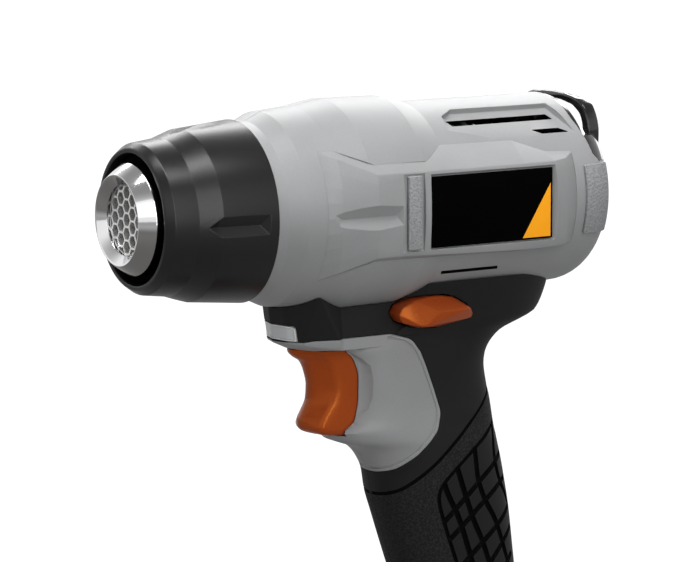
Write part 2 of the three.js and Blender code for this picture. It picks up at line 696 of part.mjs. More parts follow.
// Foot and battery
function terminalBlock() {
  const top = footBottom + railDrop + railHeight;
  const face = railRear - slideGap;
  const blades = bladePlaces.map((y) => box(face - 1, face + bladeReach, y - 0.4, y + 0.4, footBottom + 1, top - 1));
  const body = box(channelRear + fitGap, face, -14, 14, footBottom + 0.4, top);
  return join(body, ...blades);
}

function lead(y) {
  const start = footBottom + railDrop + railHeight + fitGap;
  const path = new THREE.CatmullRomCurve3([[channelRear + 3, start], ...leadTurns, [leadTop, switchBottom - 6],
    [leadTop, switchBottom - fitGap]].map(([x, z]) => new THREE.Vector3(x, y, z)));
  const section = new THREE.Shape();
  section.absarc(0, 0, leadRadius, 0, 2 * Math.PI);
  return closed(new THREE.ExtrudeGeometry(section, { steps: 12, extrudePath: path, curveSegments: 4 }));
}

function batteryPlan(inset, z) {
  return bothSides([[batteryFront - inset, batteryHalf - batteryChamfer - inset, z],
    [batteryFront - batteryChamfer - inset, batteryHalf - inset, z],
    [batteryRear + batteryChamfer + inset, batteryHalf - inset, z],
    [batteryRear + inset, batteryHalf - batteryChamfer - inset, z]]);
}

function batteryLower() {
  const split = batterySplit - fitGap / 2;
  const outer = hull([...batteryPlan(1.5, batteryBase), ...batteryPlan(0, batteryBase + 3), ...batteryPlan(0, split)]);
  const inner = hull([...batteryPlan(batteryWall, batteryBase + batteryWall), ...batteryPlan(batteryWall, split + 1)]);
  return cut(outer, inner);
}

function batteryUpper() {
  const split = batterySplit + fitGap / 2;
  const top = footBottom - batteryGap;
  const deck = hull([...batteryPlan(0, split), ...batteryPlan(0, top - 2), ...batteryPlan(1.5, top)]);
  const riser = hull(bothSides([[batteryFront - 1.5, riserHalf, top], [footFront + 0.6, riserHalf, top],
    [batteryFront - 4, riserHalf - 3, riserTop], [footFront + 0.6, riserHalf - 3, riserTop]]));
  const neck = box(railRear, railFront, -railNeckHalf, railNeckHalf, top - 1, footBottom + railDrop + 0.4);
  const flange = box(railRear, railFront, -railHalf, railHalf, footBottom + railDrop + 0.4,
    footBottom + railDrop + railHeight);
  const inner = hull([...batteryPlan(batteryWall, split - 1), ...batteryPlan(batteryWall, top - batteryWall)]);
  const pocketHalf = latchBlockHalf + fitGap;
  const pocket = box(latchMiddle - pocketHalf, latchMiddle + pocketHalf, -latchHalf - fitGap, latchHalf + fitGap,
    pocketFloor, riserTop + 1);
  const toothSlot = box(footFront, footFront + 4, -6.4, 6.4, footBottom + 0.4, riserTop - 2.6);
  const bladeSlots = bladePlaces.map((y) => box(railRear - 1, railRear + bladeReach + 1, y - 0.9, y + 0.9,
    footBottom + 0.4, footBottom + railDrop + railHeight + 1));
  const floor = box(footFront + 1, batteryFront - 4, -latchHalf - 2, latchHalf + 2, pocketFloor - 2, pocketFloor + 2);
  return cut(join(cut(join(deck, riser, neck, flange), inner), floor), pocket, toothSlot, ...bladeSlots);
}

function cellAt(index) {
  const pitch = 2 * cellRadius + fitGap;
  const middle = (batteryFront + batteryRear) / 2;
  const x = middle + (index - (cellCount - 1) / 2) * pitch;
  const z = batteryBase + batteryWall + fitGap + cellRadius;
  return rod(cellRadius, [x, -cellLength / 2, z], [x, cellLength / 2, z], 18);
}

function cellBoard() {
  const z = batteryBase + batteryWall + 2 * fitGap + 2 * cellRadius;
  return box(batteryRear + 8, batteryFront - 8, -30, 30, z, z + 1.6);
}

function latch() {
  const block = box(latchMiddle - latchBlockHalf, latchMiddle + latchBlockHalf, -latchHalf, latchHalf,
    riserTop - latchDepth, riserTop + latchProud);
  const tooth = box(footFront - 2.4, footFront + 4, -6, 6, riserTop - 6, riserTop - 3);
  const grooves = [-2.2, 0, 2.2].map((shift) => box(latchMiddle + shift - 0.5, latchMiddle + shift + 0.5,
    -latchHalf + 2, latchHalf - 2, riserTop + latchProud - 1, riserTop + latchProud + 1));
  const seat = rod(latchSeatRadius, [latchMiddle, 0, riserTop - latchDepth - 2], [latchMiddle, 0, riserTop - 6], 16);
  return cut(join(block, tooth), ...grooves, seat);
}

function latchSpring() {
  return cut(rod(latchSeatRadius - 0.8, [latchMiddle, 0, pocketFloor + fitGap],
    [latchMiddle, 0, riserTop - 6 - fitGap], 14),
  rod(latchSeatRadius - 2, [latchMiddle, 0, pocketFloor - 1], [latchMiddle, 0, riserTop], 14));
}

function screwAt([x, z]) {
  return join(rod(screwRadius, [x, screwHeadDepth - 1, z], [x, screwReach, z], 8),
    rod(screwHeadRadius, [x, screwHeadDepth - 2.4, z], [x, screwHeadDepth - fitGap, z], 10));
}

// Finishes
const finish = (color, roughness, metalness = 0) => new THREE.MeshStandardMaterial({ color, roughness, metalness });
const greyPlastic = finish(0xb9bbbc, 0.5);
const greyPad = finish(0xa9abac, 0.85);
const blackPlastic = finish(0x1d1f20, 0.35);
const blackRubber = finish(0x262728, 0.7);
const orangePlastic = finish(0xc8561c, 0.4);
const labelBlack = finish(0x060606, 0.25);
const capGloss = finish(0x2b2d2e, 0.15);
const chrome = finish(0xd9dbdc, 0.12, 1);
const steel = finish(0xa5a8aa, 0.35, 1);
const mica = finish(0xcbb68c, 0.8);
const ceramic = finish(0xe8e4da, 0.85);
const wireCoil = finish(0x6b5a4c, 0.5, 0.8);
const boardGreen = finish(0x1f5a36, 0.5);
const lens = finish(0xdfe3e5, 0.2);
const leadRed = finish(0x9c2119, 0.5);
const leadBlack = finish(0x141414, 0.5);
const cellWrap = finish(0x3a6ea5, 0.4);

// Assembly
const tool = new THREE.Group();

function place(name, solid, material) {
  const { vertProperties, triVerts } = solid.getMesh();
  const geometry = new THREE.BufferGeometry();
  geometry.setAttribute('position', new THREE.BufferAttribute(new Float32Array(vertProperties), 3));
  geometry.setIndex(new THREE.BufferAttribute(new Uint32Array(triVerts), 1));
  geometry.computeVertexNormals();
  const mesh = new THREE.Mesh(geometry, material);
  mesh.name = name;
  tool.add(mesh);
}

const housing = housingBoth();
const covers = coverBoth();
place('housing_left', leftOf(housing), greyPlastic);
place('housing_right', rightOf(housing), greyPlastic);
place('grip_cover_left', leftOf(covers), blackRubber);
place('grip_cover_right', rightOf(covers), blackRubber);
place('nozzle_collar', collar(), blackPlastic);
place('outlet_nozzle', nozzle(), chrome);
place('outlet_grille', grille(), steel);
place('heater_sleeve', heaterSleeve(), mica);
place('heater_former', heaterFormer(), ceramic);
place('heating_coil', heatingCoil(), wireCoil);
place('front_insulator', frontInsulator(), ceramic);
place('heater_support_ring', supportRing(), ceramic);
place('thermal_cutout', thermalCutout(), steel);
place('fan_duct', fanDuct(), blackPlastic);
place('fan', fan(), blackPlastic);
place('motor_shaft', motorShaft(), steel);
place('motor', motor(), steel);
place('motor_mount', motorMount(), blackPlastic);
place('rear_cap', rearCap(), capGloss);
place('intake_screen', intakeScreen(), steel);
for (const [side, sign] of [['left', 1], ['right', -1]]) {
  const { pad, strip, label } = sideTrim(sign);
  place(`rear_pad_${side}`, pad, greyPad);
  place(`side_strip_${side}`, strip, greyPad);
  place(`label_plate_${side}`, label, labelBlack);
}
place('light_lens', lightLens(), lens);
place('light_board', lightBoard(), boardGreen);
place('trigger', trigger(), orangePlastic);
place('trigger_switch', triggerSwitch(), blackPlastic);
place('trigger_spring', triggerSpring(), steel);
place('selector', selector(), orangePlastic);
place('selector_switch', selectorSwitch(), blackPlastic);
place('control_board', controlBoard(), boardGreen);
place('heat_sink', heatSink(), steel);
place('terminal_block', terminalBlock(), blackPlastic);
place('lead_red', lead(4), leadRed);
place('lead_black', lead(-4), leadBlack);
place('battery_case_upper', batteryUpper(), blackPlastic);
place('battery_case_lower', batteryLower(), blackPlastic);
for (let i = 0; i < cellCount; i++) {
  place(`battery_cell_${i + 1}`, cellAt(i), cellWrap);
}
place('cell_board', cellBoard(), boardGreen);
place('battery_latch', latch(), orangePlastic);
place('latch_spring', latchSpring(), steel);
screwPlaces.forEach((spot, i) => place(`housing_screw_${i + 1}`, screwAt(spot), steel));

// The tool stands on the middle of its box, with the battery's base at z = 0
tool.position.set(-(nozzleLip + tailEnd) / 2, 0, -batteryBase);
const part = new THREE.Group();
part.add(tool);
part.updateMatrixWorld(true);

export default part;
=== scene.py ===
"""Dresses the hot air tool: its visible pieces, their finishes, the lamps and the camera.

Every piece is modelled in millimetres round the barrel, with x = 0 at the collar's rear edge, y = z = 0 on the
barrel's axis, +X the way the air blows, +Y the tool's left and +Z up. A finished piece is then set down in the
frame's metres.
"""

import logging
import math
from dataclasses import dataclass, replace
from enum import Enum
from typing import Callable, Dict, List, Optional, Sequence, Tuple, Union

import bmesh
import bpy
from mathutils import Matrix, Vector

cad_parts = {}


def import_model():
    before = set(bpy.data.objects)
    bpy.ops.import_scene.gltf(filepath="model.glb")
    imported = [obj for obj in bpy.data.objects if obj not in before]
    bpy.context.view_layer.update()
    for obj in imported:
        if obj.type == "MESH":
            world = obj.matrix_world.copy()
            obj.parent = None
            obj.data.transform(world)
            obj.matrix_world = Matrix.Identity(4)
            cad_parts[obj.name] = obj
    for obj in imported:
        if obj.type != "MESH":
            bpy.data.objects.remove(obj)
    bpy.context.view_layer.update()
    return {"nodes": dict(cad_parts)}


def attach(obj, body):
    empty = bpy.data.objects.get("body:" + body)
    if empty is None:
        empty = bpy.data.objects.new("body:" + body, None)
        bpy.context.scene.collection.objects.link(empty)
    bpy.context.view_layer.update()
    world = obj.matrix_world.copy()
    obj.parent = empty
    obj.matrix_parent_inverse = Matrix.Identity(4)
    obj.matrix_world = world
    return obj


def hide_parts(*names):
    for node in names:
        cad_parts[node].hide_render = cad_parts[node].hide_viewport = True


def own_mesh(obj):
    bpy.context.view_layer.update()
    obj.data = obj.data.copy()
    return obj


log = logging.getLogger("hot_air_tool")

Point2 = Tuple[float, float]
Point3 = Tuple[float, float, float]
Colour = Tuple[float, float, float]

PER_METRE = 1000.0  # millimetres in a metre
ORIGIN = (0.04805, 0.0, 0.224)  # where the barrel's x = y = z = 0 lies in the frame, in metres
SET_DOWN = Matrix.Translation(ORIGIN) @ Matrix.Scale(1 / PER_METRE, 4)
FAR = 90.0  # a length that reaches out of the barrel and the handle on every side


class Combine(Enum):
    """Ways to bring two solids together."""

    JOIN = "UNION"
    CUT = "DIFFERENCE"
    COMMON = "INTERSECT"


class Side(Enum):
    """The two sides of the tool."""

    LEFT = 1
    RIGHT = -1

    @property
    def word(self) -> str:
        """The side's name in a piece's name."""
        return self.name.lower()


# Outlines


def fillet(corners: Sequence[Point2], radii: Union[float, Sequence[float]], closed: bool = True,
           steps: int = 4) -> List[Point2]:
    """Round the corners of an outline with arcs.

    Args:
        corners: The outline's corners in order.
        radii: One radius for all corners, or one each.
        closed: Whether the last corner joins the first.
        steps: How many edges an arc gets.

    Returns:
        The rounded outline.
    """
    straight, longest, least = math.pi - 0.02, 0.48, 1e-3
    count = len(corners)
    sizes = [radii] * count if isinstance(radii, (int, float)) else list(radii)
    out: List[Point2] = []
    for i, corner in enumerate(corners):
        if not closed and i in (0, count - 1):
            out.append(corner)
            continue
        here = Vector(corner)
        back, ahead = Vector(corners[i - 1]) - here, Vector(corners[(i + 1) % count]) - here
        turn = back.angle(ahead, math.pi)
        reach = 0.0 if turn > straight else sizes[i] / math.tan(turn / 2)
        reach = min(reach, longest * back.length, longest * ahead.length)
        if reach < least:
            out.append(corner)
            continue
        start, end = here + back.normalized() * reach, here + ahead.normalized() * reach
        for k in range(steps + 1):
            t = k / steps
            point = start * (1 - t) ** 2 + here * 2 * t * (1 - t) + end * t ** 2
            out.append((point.x, point.y))
    return out


def grown(outline: Sequence[Point2], middle: Point2, gap: float) -> List[Point2]:
    """Move an outline's corners away from its middle by a gap.

    Args:
        outline: The corners.
        middle: The point that they move away from.
        gap: How far each one moves.

    Returns:
        The moved corners.
    """
    out: List[Point2] = []
    for x, z in outline:
        dx, dz = x - middle[0], z - middle[1]
        away = math.hypot(dx, dz)
        out.append((x + gap * dx / away, z + gap * dz / away))
    return out


def between(stations: Sequence[Tuple[float, ...]], at: float) -> List[float]:
    """Read a smooth curve through rows of numbers.

    Args:
        stations: Rows whose first number falls steadily, with the values after it.
        at: The first number to read the values for.

    Returns:
        The values at that place, on a curve without overshoot.
    """
    place = max(0, min(len(stations) - 2, sum(1 for row in stations if row[0] >= at) - 1))
    rows = [stations[max(0, min(len(stations) - 1, place + k))] for k in (-1, 0, 1, 2)]
    span = rows[2][0] - rows[1][0]
    t = max(0.0, min(1.0, (at - rows[1][0]) / span))
    values = []
    for column in range(1, len(rows[0])):
        p0, p1, p2, p3 = (row[column] for row in rows)
        slope = (p2 - p1) / span
        before = (p1 - p0) / (rows[1][0] - rows[0][0]) if place else slope
        after = (p3 - p2) / (rows[3][0] - rows[2][0]) if place < len(stations) - 2 else slope
        tangents = [0.0 if a * slope <= 0 else 2 * a * slope / (a + slope) for a in (before, after)]
        h = [2 * t ** 3 - 3 * t ** 2 + 1, t ** 3 - 2 * t ** 2 + t, -2 * t ** 3 + 3 * t ** 2, t ** 3 - t ** 2]
        values.append(h[0] * p1 + h[1] * span * tangents[0] + h[2] * p2 + h[3] * span * tangents[1])
    return values


class Bench:
    """Modelling steps with Blender's operators, in millimetres round the barrel."""

    MERGE = 0.0005
    ON_AXIS = 1e-6
    SEAM = 0.1
    SMOOTH = 32.0

    @staticmethod
    def pick(*pieces: bpy.types.Object) -> None:
        """Select the given pieces alone, the first one active.

        Args:
            pieces: What is selected, or nothing.
        """
        if bpy.context.object and bpy.context.object.mode != "OBJECT":
            bpy.ops.object.mode_set(mode="OBJECT")
        bpy.ops.object.select_all(action="DESELECT")
        for piece in pieces:
            piece.select_set(True)
        if pieces:
            bpy.context.view_layer.objects.active = pieces[0]

    @classmethod
    def edit(cls, piece: bpy.types.Object, choose: Optional[Callable[[bmesh.types.BMVert], bool]] = None) -> None:
        """Open a piece in edit mode with some corners selected.

        Args:
            piece: The piece to open.
            choose: Says which corners are selected, or none for all.
        """
        cls.pick(piece)
        bpy.ops.object.mode_set(mode="EDIT")
        bpy.ops.mesh.select_mode(type="VERT")
        bpy.ops.mesh.select_all(action="SELECT" if choose is None else "DESELECT")
        if choose is not None:
            mesh = bmesh.from_edit_mesh(piece.data)
            for vert in mesh.verts:
                vert.select = choose(vert)
            mesh.select_flush_mode()
            bmesh.update_edit_mesh(piece.data)

    @classmethod
    def shift(cls, piece: bpy.types.Object, by: Point3) -> bpy.types.Object:
        """Move a piece's mesh.

        Args:
            piece: The piece.
            by: How far it moves along x, y and z.

        Returns:
            The same piece.
        """
        cls.edit(piece)
        bpy.ops.transform.translate(value=by)
        bpy.ops.object.mode_set(mode="OBJECT")
        return piece

    @classmethod
    def tidy(cls, piece: bpy.types.Object) -> bpy.types.Object:
        """Merge doubled corners, turn the faces outwards and leave edit mode.

        Args:
            piece: The piece, in either mode.

        Returns:
            The same piece.
        """
        cls.edit(piece)
        bpy.ops.mesh.remove_doubles(threshold=cls.MERGE)
        bpy.ops.mesh.normals_make_consistent(inside=False)
        bpy.ops.object.mode_set(mode="OBJECT")
        return piece

    @classmethod
    def ring(cls, points: Sequence[Point3], filled: bool) -> bpy.types.Object:
        """Lay a circle's corners on the given points.

        Args:
            points: The places of the corners, in order.
            filled: Whether the ring is one face.

        Returns:
            The new piece.
        """
        cls.pick()
        bpy.ops.mesh.primitive_circle_add(vertices=len(points), fill_type="NGON" if filled else "NOTHING")
        piece = bpy.context.object
        for vert, point in zip(piece.data.vertices, points):
            vert.co = point
        return piece

    @classmethod
    def prism(cls, points: Sequence[Point3], along: Point3) -> bpy.types.Object:
        """Extrude a flat outline into a solid.

        Args:
            points: The outline's corners, in order.
            along: How far and which way it is extruded.

        Returns:
            The solid.
        """
        piece = cls.ring(points, filled=True)
        cls.edit(piece)
        bpy.ops.mesh.extrude_region_move(TRANSFORM_OT_translate={"value": along})
        return cls.tidy(piece)

    @classmethod
    def side_prism(cls, outline: Sequence[Point2], low: float, high: float) -> bpy.types.Object:
        """Extrude an outline of x and z across the tool, between two values of y in either order."""
        low, high = sorted((low, high))
        return cls.prism([(x, low, z) for x, z in outline], (0.0, high - low, 0.0))

    @classmethod
    def front_prism(cls, outline: Sequence[Point2], low: float, high: float) -> bpy.types.Object:
        """Extrude an outline of y and z along the barrel."""
        return cls.prism([(low, y, z) for y, z in outline], (high - low, 0.0, 0.0))

    @classmethod
    def hull(cls, points: Sequence[Point3]) -> bpy.types.Object:
        """Wrap points in the smallest solid without hollows.

        Args:
            points: The points to wrap.

        Returns:
            The solid.
        """
        piece = cls.ring(points, filled=False)
        cls.edit(piece)
        bpy.ops.mesh.convex_hull()
        return cls.tidy(piece)

    @classmethod
    def block(cls, low: Point3, high: Point3) -> bpy.types.Object:
        """Add a box between two corners.

        Args:
            low: One corner.
            high: The corner across from it.

        Returns:
            The box.
        """
        cls.pick()
        middle = [(a + b) / 2 for a, b in zip(low, high)]
        bpy.ops.mesh.primitive_cube_add(size=1.0, location=middle, scale=[abs(b - a) for a, b in zip(low, high)])
        bpy.ops.object.transform_apply(location=True, rotation=True, scale=True)
        return bpy.context.object

    @classmethod
    def slab(cls, low: float, high: float = FAR) -> bpy.types.Object:
        """Add a box that holds all of the tool between two heights."""
        return cls.block((-3 * FAR, -FAR, low), (FAR, FAR, high))

    @classmethod
    def rod(cls, radius: float, start: Point3, end: Point3, sides: int = 32) -> bpy.types.Object:
        """Add a round bar between two points.

        Args:
            radius: Its radius.
            start: The middle of one end.
            end: The middle of the other end.
            sides: How many sides it has.

        Returns:
            The bar.
        """
        cls.pick()
        run = Vector(end) - Vector(start)
        bpy.ops.mesh.primitive_cylinder_add(
            vertices=sides, radius=radius, depth=run.length, location=(Vector(start) + Vector(end)) / 2,
            rotation=run.to_track_quat("Z", "Y").to_euler())
        bpy.ops.object.transform_apply(location=True, rotation=True, scale=True)
        return bpy.context.object

    @classmethod
    def turned(cls, profile: Sequence[Point2], steps: int = 128) -> bpy.types.Object:
        """Spin a profile of x and radius round the barrel's axis.

        Args:
            profile: The profile's corners, closed on itself or ending on the axis.
            steps: How many steps the turn has.

        Returns:
            The turned solid.
        """
        piece = cls.ring([(x, 0.0, r) for x, r in profile], filled=False)
        if profile[0][1] < cls.ON_AXIS and profile[-1][1] < cls.ON_AXIS:
            cls.edit(piece, lambda vert: abs(vert.co.z) < cls.ON_AXIS)
            bpy.ops.mesh.select_mode(type="EDGE")
            bpy.ops.mesh.delete(type="EDGE")
            bpy.ops.object.mode_set(mode="OBJECT")
        cls.edit(piece)
        bpy.ops.mesh.spin(steps=steps, angle=2 * math.pi, center=(0, 0, 0), axis=(1, 0, 0))
        return cls.tidy(piece)

    @classmethod
    def loft(cls, sections: Sequence[Sequence[Point3]]) -> bpy.types.Object:
        """Run a skin over rings with the same number of corners.

        Args:
            sections: The rings, from one end to the other.

        Returns:
            The closed solid.
        """
        sides, levels, depth = len(sections[0]), len(sections) - 1, 2.0
        cls.pick()
        bpy.ops.mesh.primitive_cylinder_add(vertices=sides, radius=1.0, depth=depth)
        piece = bpy.context.object
        if levels > 1:
            cls.edit(piece, lambda vert: False)
            mesh = bmesh.from_edit_mesh(piece.data)
            for edge in mesh.edges:
                edge.select = abs(edge.verts[0].co.z - edge.verts[1].co.z) > depth / 2
            bmesh.update_edit_mesh(piece.data)
            bpy.ops.mesh.subdivide(number_cuts=levels - 1)
            bpy.ops.object.mode_set(mode="OBJECT")
        for vert in piece.data.vertices:
            level = round((depth / 2 - vert.co.z) / depth * levels)
            corner = round(math.atan2(vert.co.x, vert.co.y) / (2 * math.pi) * sides) % sides
            vert.co = sections[level][corner]
        return cls.tidy(piece)

    @classmethod
    def combine(cls, how: Combine, piece: bpy.types.Object, *tools: bpy.types.Object) -> bpy.types.Object:
        """Join, cut or cross a piece with others, which are used up.

        Args:
            how: What to do with each.
            piece: The piece that stays.
            tools: The solids that it meets, in order.

        Returns:
            The changed piece.
        """
        for tool in tools:
            for solid in (piece, tool):
                cls.two_finishes(solid)
            modifier = piece.modifiers.new("meeting", "BOOLEAN")
            modifier.operation = how.value
            modifier.solver = "MANIFOLD"
            modifier.object = tool
            cls.pick(piece)
            bpy.ops.object.modifier_apply(modifier=modifier.name)
            spare = tool.data
            bpy.data.objects.remove(tool, do_unlink=True)
            bpy.data.meshes.remove(spare)
            if not piece.data.polygons:
                log.warning("a piece has no faces left after %s", how.name)
        return piece

    @staticmethod
    def two_finishes(solid: bpy.types.Object) -> None:
        """Give a solid places for two finishes."""
        while len(solid.data.materials) < 2:
            solid.data.materials.append(None)

    @classmethod
    def second(cls, tool: bpy.types.Object) -> bpy.types.Object:
        """Have a tool leave faces of the second finish wherever it cuts.

        Args:
            tool: The solid that will cut.

        Returns:
            The same solid.
        """
        cls.two_finishes(tool)
        for face in tool.data.polygons:
            face.material_index = 1
        return tool

    @classmethod
    def twin(cls, piece: bpy.types.Object) -> bpy.types.Object:
        """Copy a piece with a mesh of its own.

        Args:
            piece: The piece to copy.

        Returns:
            The copy.
        """
        cls.pick(piece)
        bpy.ops.object.duplicate(linked=False)
        return bpy.context.object

    @classmethod
    def soften(cls, piece: bpy.types.Object, width: float, steps: int = 3, angle: float = 30.0) -> bpy.types.Object:
        """Round a piece's edges with a bevel.

        Args:
            piece: The piece.
            width: The bevel's width.
            steps: How many segments it has.
            angle: The angle in degrees past which an edge is rounded.

        Returns:
            The same piece.
        """
        modifier = piece.modifiers.new("edges", "BEVEL")
        modifier.width = width
        modifier.segments = steps
        modifier.limit_method = "ANGLE"
        modifier.angle_limit = math.radians(angle)
        modifier.use_clamp_overlap = True
        cls.pick(piece)
        bpy.ops.object.modifier_apply(modifier=modifier.name)
        return piece

    @classmethod
    def halve(cls, whole: bpy.types.Object, side: Side) -> bpy.types.Object:
        """Copy what lies on one side of the seam in the tool's middle."""
        return cls.combine(Combine.COMMON, cls.twin(whole), cls.block(
            (-3 * FAR, side.value * cls.SEAM, -3 * FAR), (2 * FAR, side.value * FAR, FAR)))

    @classmethod
    def finish(cls, piece: bpy.types.Object, name: str, body: str, slot: str, *finishes: "Finish",
               stands_for: Sequence[str] = (), smooth: float = SMOOTH) -> bpy.types.Object:
        """Name a piece, set it down in the frame and dress it.

        Args:
            piece: The finished shape, in millimetres.
            name: Its name.
            body: The frame's body that it moves with.
            slot: The record's material slot; not used.
            finishes: Its finishes, in the order of its faces' material numbers.
            stands_for: The frame's nodes that it replaces.
            smooth: The angle in degrees under which neighbouring faces shade as one.

        Returns:
            The piece.
        """
        piece.name = piece.data.name = name
        piece.data.transform(SET_DOWN)
        cls.pick(piece)
        bpy.ops.object.shade_smooth_by_angle(angle=math.radians(smooth))
        numbers = [face.material_index for face in piece.data.polygons]
        piece.data.materials.clear()
        for one in finishes:
            piece.data.materials.append(one.material())
        for face, number in zip(piece.data.polygons, numbers):
            face.material_index = min(number, len(finishes) - 1)
        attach(piece, body)
        if stands_for:
            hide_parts(*stands_for)
        log.info("%s: %d faces", name, len(piece.data.polygons))
        return piece


# Finishes


def srgb(red: int, green: int, blue: int) -> Colour:
    """Turn a colour as seen on a screen, 0 to 255, into linear light.

    Args:
        red: The red channel.
        green: The green channel.
        blue: The blue channel.

    Returns:
        The colour in linear light.
    """
    def linear(value: int) -> float:
        """One channel's linear value."""
        part = value / 255
        return part / 12.92 if part <= 0.04045 else ((part + 0.055) / 1.055) ** 2.4
    return linear(red), linear(green), linear(blue)


def shaded(colour: Colour, factor: float, lift: float = 0.0) -> Colour:
    """A colour times a factor, lifted by a little light, at most 1 in each channel."""
    return tuple(min(1.0, channel * factor + lift) for channel in colour)


class Wire:
    """A node's output that arithmetic signs work on."""

    def __init__(self, desk: "Tree", socket: bpy.types.NodeSocket) -> None:
        """Hold the desk that it came from and its socket."""
        self.desk = desk
        self.socket = socket

    def maths(self, operation: str, *values: Union["Wire", float]) -> "Wire":
        """Add a Math node on the given values."""
        return self.desk.node("ShaderNodeMath", {"operation": operation}, dict(enumerate(values)))

    def __add__(self, other: Union["Wire", float]) -> "Wire":
        """Sum."""
        return self.maths("ADD", self, other)

    __radd__ = __add__

    def __sub__(self, other: Union["Wire", float]) -> "Wire":
        """Difference."""
        return self.maths("SUBTRACT", self, other)

    def __rsub__(self, other: float) -> "Wire":
        """Difference from a number."""
        return self.maths("SUBTRACT", other, self)

    def __mul__(self, other: Union["Wire", float]) -> "Wire":
        """Product."""
        return self.maths("MULTIPLY", self, other)

    __rmul__ = __mul__

    def __gt__(self, other: Union["Wire", float]) -> "Wire":
        """One where it is larger."""
        return self.maths("GREATER_THAN", self, other)

    def __lt__(self, other: Union["Wire", float]) -> "Wire":
        """One where it is smaller."""
        return self.maths("LESS_THAN", self, other)

    def root(self) -> "Wire":
        """Square root."""
        return self.maths("SQRT", self)

    def least(self, other: Union["Wire", float]) -> "Wire":
        """The smaller of two."""
        return self.maths("MINIMUM", self, other)

    def most(self, other: Union["Wire", float]) -> "Wire":
        """The larger of two."""
        return self.maths("MAXIMUM", self, other)

    def step(self, low: float, high: float) -> "Wire":
        """Rise smoothly from 0 at low to 1 at high."""
        return self.desk.node("ShaderNodeMapRange", {"interpolation_type": "SMOOTHSTEP"}, {0: self, 1: low, 2: high})


class Tree:
    """A node tree with short ways to fill it."""

    def __init__(self, tree: bpy.types.NodeTree) -> None:
        """Hold the tree."""
        self.tree = tree

    def node(self, kind: str, settings: Dict[str, object], sockets: Dict[Union[int, str], object],
             out: Union[int, str] = 0) -> Wire:
        """Add a node.

        Args:
            kind: The node's type.
            settings: Its settings, set first.
            sockets: The values or wires of its inputs.
            out: Which output is wanted.

        Returns:
            That output.
        """
        node = self.tree.nodes.new(kind)
        for name, value in settings.items():
            setattr(node, name, value)
        for name, value in sockets.items():
            self.plug(node.inputs[name], value)
        return Wire(self, node.outputs[out])

    def plug(self, socket: bpy.types.NodeSocket, value: object) -> None:
        """Give an input a wire, a colour or a plain value.

        Args:
            socket: The input.
            value: What it is given.
        """
        if isinstance(value, Wire):
            self.tree.links.new(value.socket, socket)
        elif socket.type == "RGBA":
            socket.default_value = (*value, 1.0)
        else:
            socket.default_value = value

    def seen(self, glossy: float) -> Wire:
        """How far a ray is one that shows the background: straight, through glass, or by a share off a gloss.

        Args:
            glossy: The share for a ray off a gloss.

        Returns:
            A number from 0 to 1.
        """
        straight, gloss, through = (self.node("ShaderNodeLightPath", {}, {}, out) for out in (
            "Is Camera Ray", "Is Glossy Ray", "Is Transmission Ray"))
        return straight.most(gloss * glossy).most(through)

    def show(self, share: Wire, lit: Wire, bright: Wire) -> None:
        """Send a mix of two shaders to the tree's output.

        Args:
            share: How much of the second shader is mixed in.
            lit: The first shader.
            bright: The second shader.
        """
        mixed = self.node("ShaderNodeMixShader", {}, {0: share, 1: lit, 2: bright})
        output = next(node for node in self.tree.nodes if node.type.startswith("OUTPUT"))
        self.tree.links.new(mixed.socket, output.inputs["Surface"])


class Desk(Tree):
    """One material's nodes, with the place on the tool in millimetres round the barrel."""

    EDGE_SAMPLES = 6
    EDGE_BAND = (0.01, 0.25)

    def __init__(self, name: str) -> None:
        """Start a material with its shader and its output.

        Args:
            name: The material's name.
        """
        self.material = bpy.data.materials.new(name)
        self.material.use_nodes = True
        super().__init__(self.material.node_tree)
        self.shader = self.tree.nodes["Principled BSDF"]
        place = self.node("ShaderNodeTexCoord", {}, {}, "Object")
        move = self.node("ShaderNodeVectorMath", {"operation": "SUBTRACT"}, {0: place, 1: ORIGIN})
        self.place = self.node("ShaderNodeVectorMath", {"operation": "SCALE"}, {0: move, "Scale": PER_METRE})
        self.x, self.y, self.z = (
            self.node("ShaderNodeSeparateXYZ", {}, {0: self.place}, axis) for axis in ("X", "Y", "Z"))

    def noise(self, size: float, detail: float = 2.0, rough: float = 0.5) -> Wire:
        """Add a noise whose blots are about the given size in millimetres."""
        return self.node("ShaderNodeTexNoise", {}, {
            "Vector": self.place, "Scale": 1.0 / size, "Detail": detail, "Roughness": rough}, "Fac")

    def mix(self, share: Union[Wire, float], first: Union[Wire, Colour], second: Union[Wire, Colour]) -> Wire:
        """Mix two colours."""
        return self.node("ShaderNodeMix", {"data_type": "RGBA"}, {0: share, 6: first, 7: second}, 2)

    def edges(self, radius: float) -> Tuple[Wire, Wire]:
        """Find rounded edges.

        Args:
            radius: The rounding in millimetres.

        Returns:
            The rounded normal, and a mask that is high on edges.
        """
        normal = self.node("ShaderNodeBevel", {"samples": self.EDGE_SAMPLES}, {"Radius": radius / PER_METRE}, "Normal")
        flat = self.node("ShaderNodeNewGeometry", {}, {}, "Normal")
        agree = self.node("ShaderNodeVectorMath", {"operation": "DOT_PRODUCT"}, {0: normal, 1: flat}, "Value")
        return normal, (1.0 - agree).step(*self.EDGE_BAND)

    def bump(self, height: Wire, depth: float, normal: Wire) -> Wire:
        """Raise a height, with its depth in millimetres, on a normal."""
        return self.node("ShaderNodeBump", {}, {
            "Height": height, "Distance": depth / PER_METRE, "Strength": 1.0, "Normal": normal}, "Normal")

    def feed(self, **sockets: object) -> None:
        """Give the shader its values; an underscore stands for a space in a socket's name."""
        for name, value in sockets.items():
            self.plug(self.shader.inputs[name.replace("_", " ")], value)


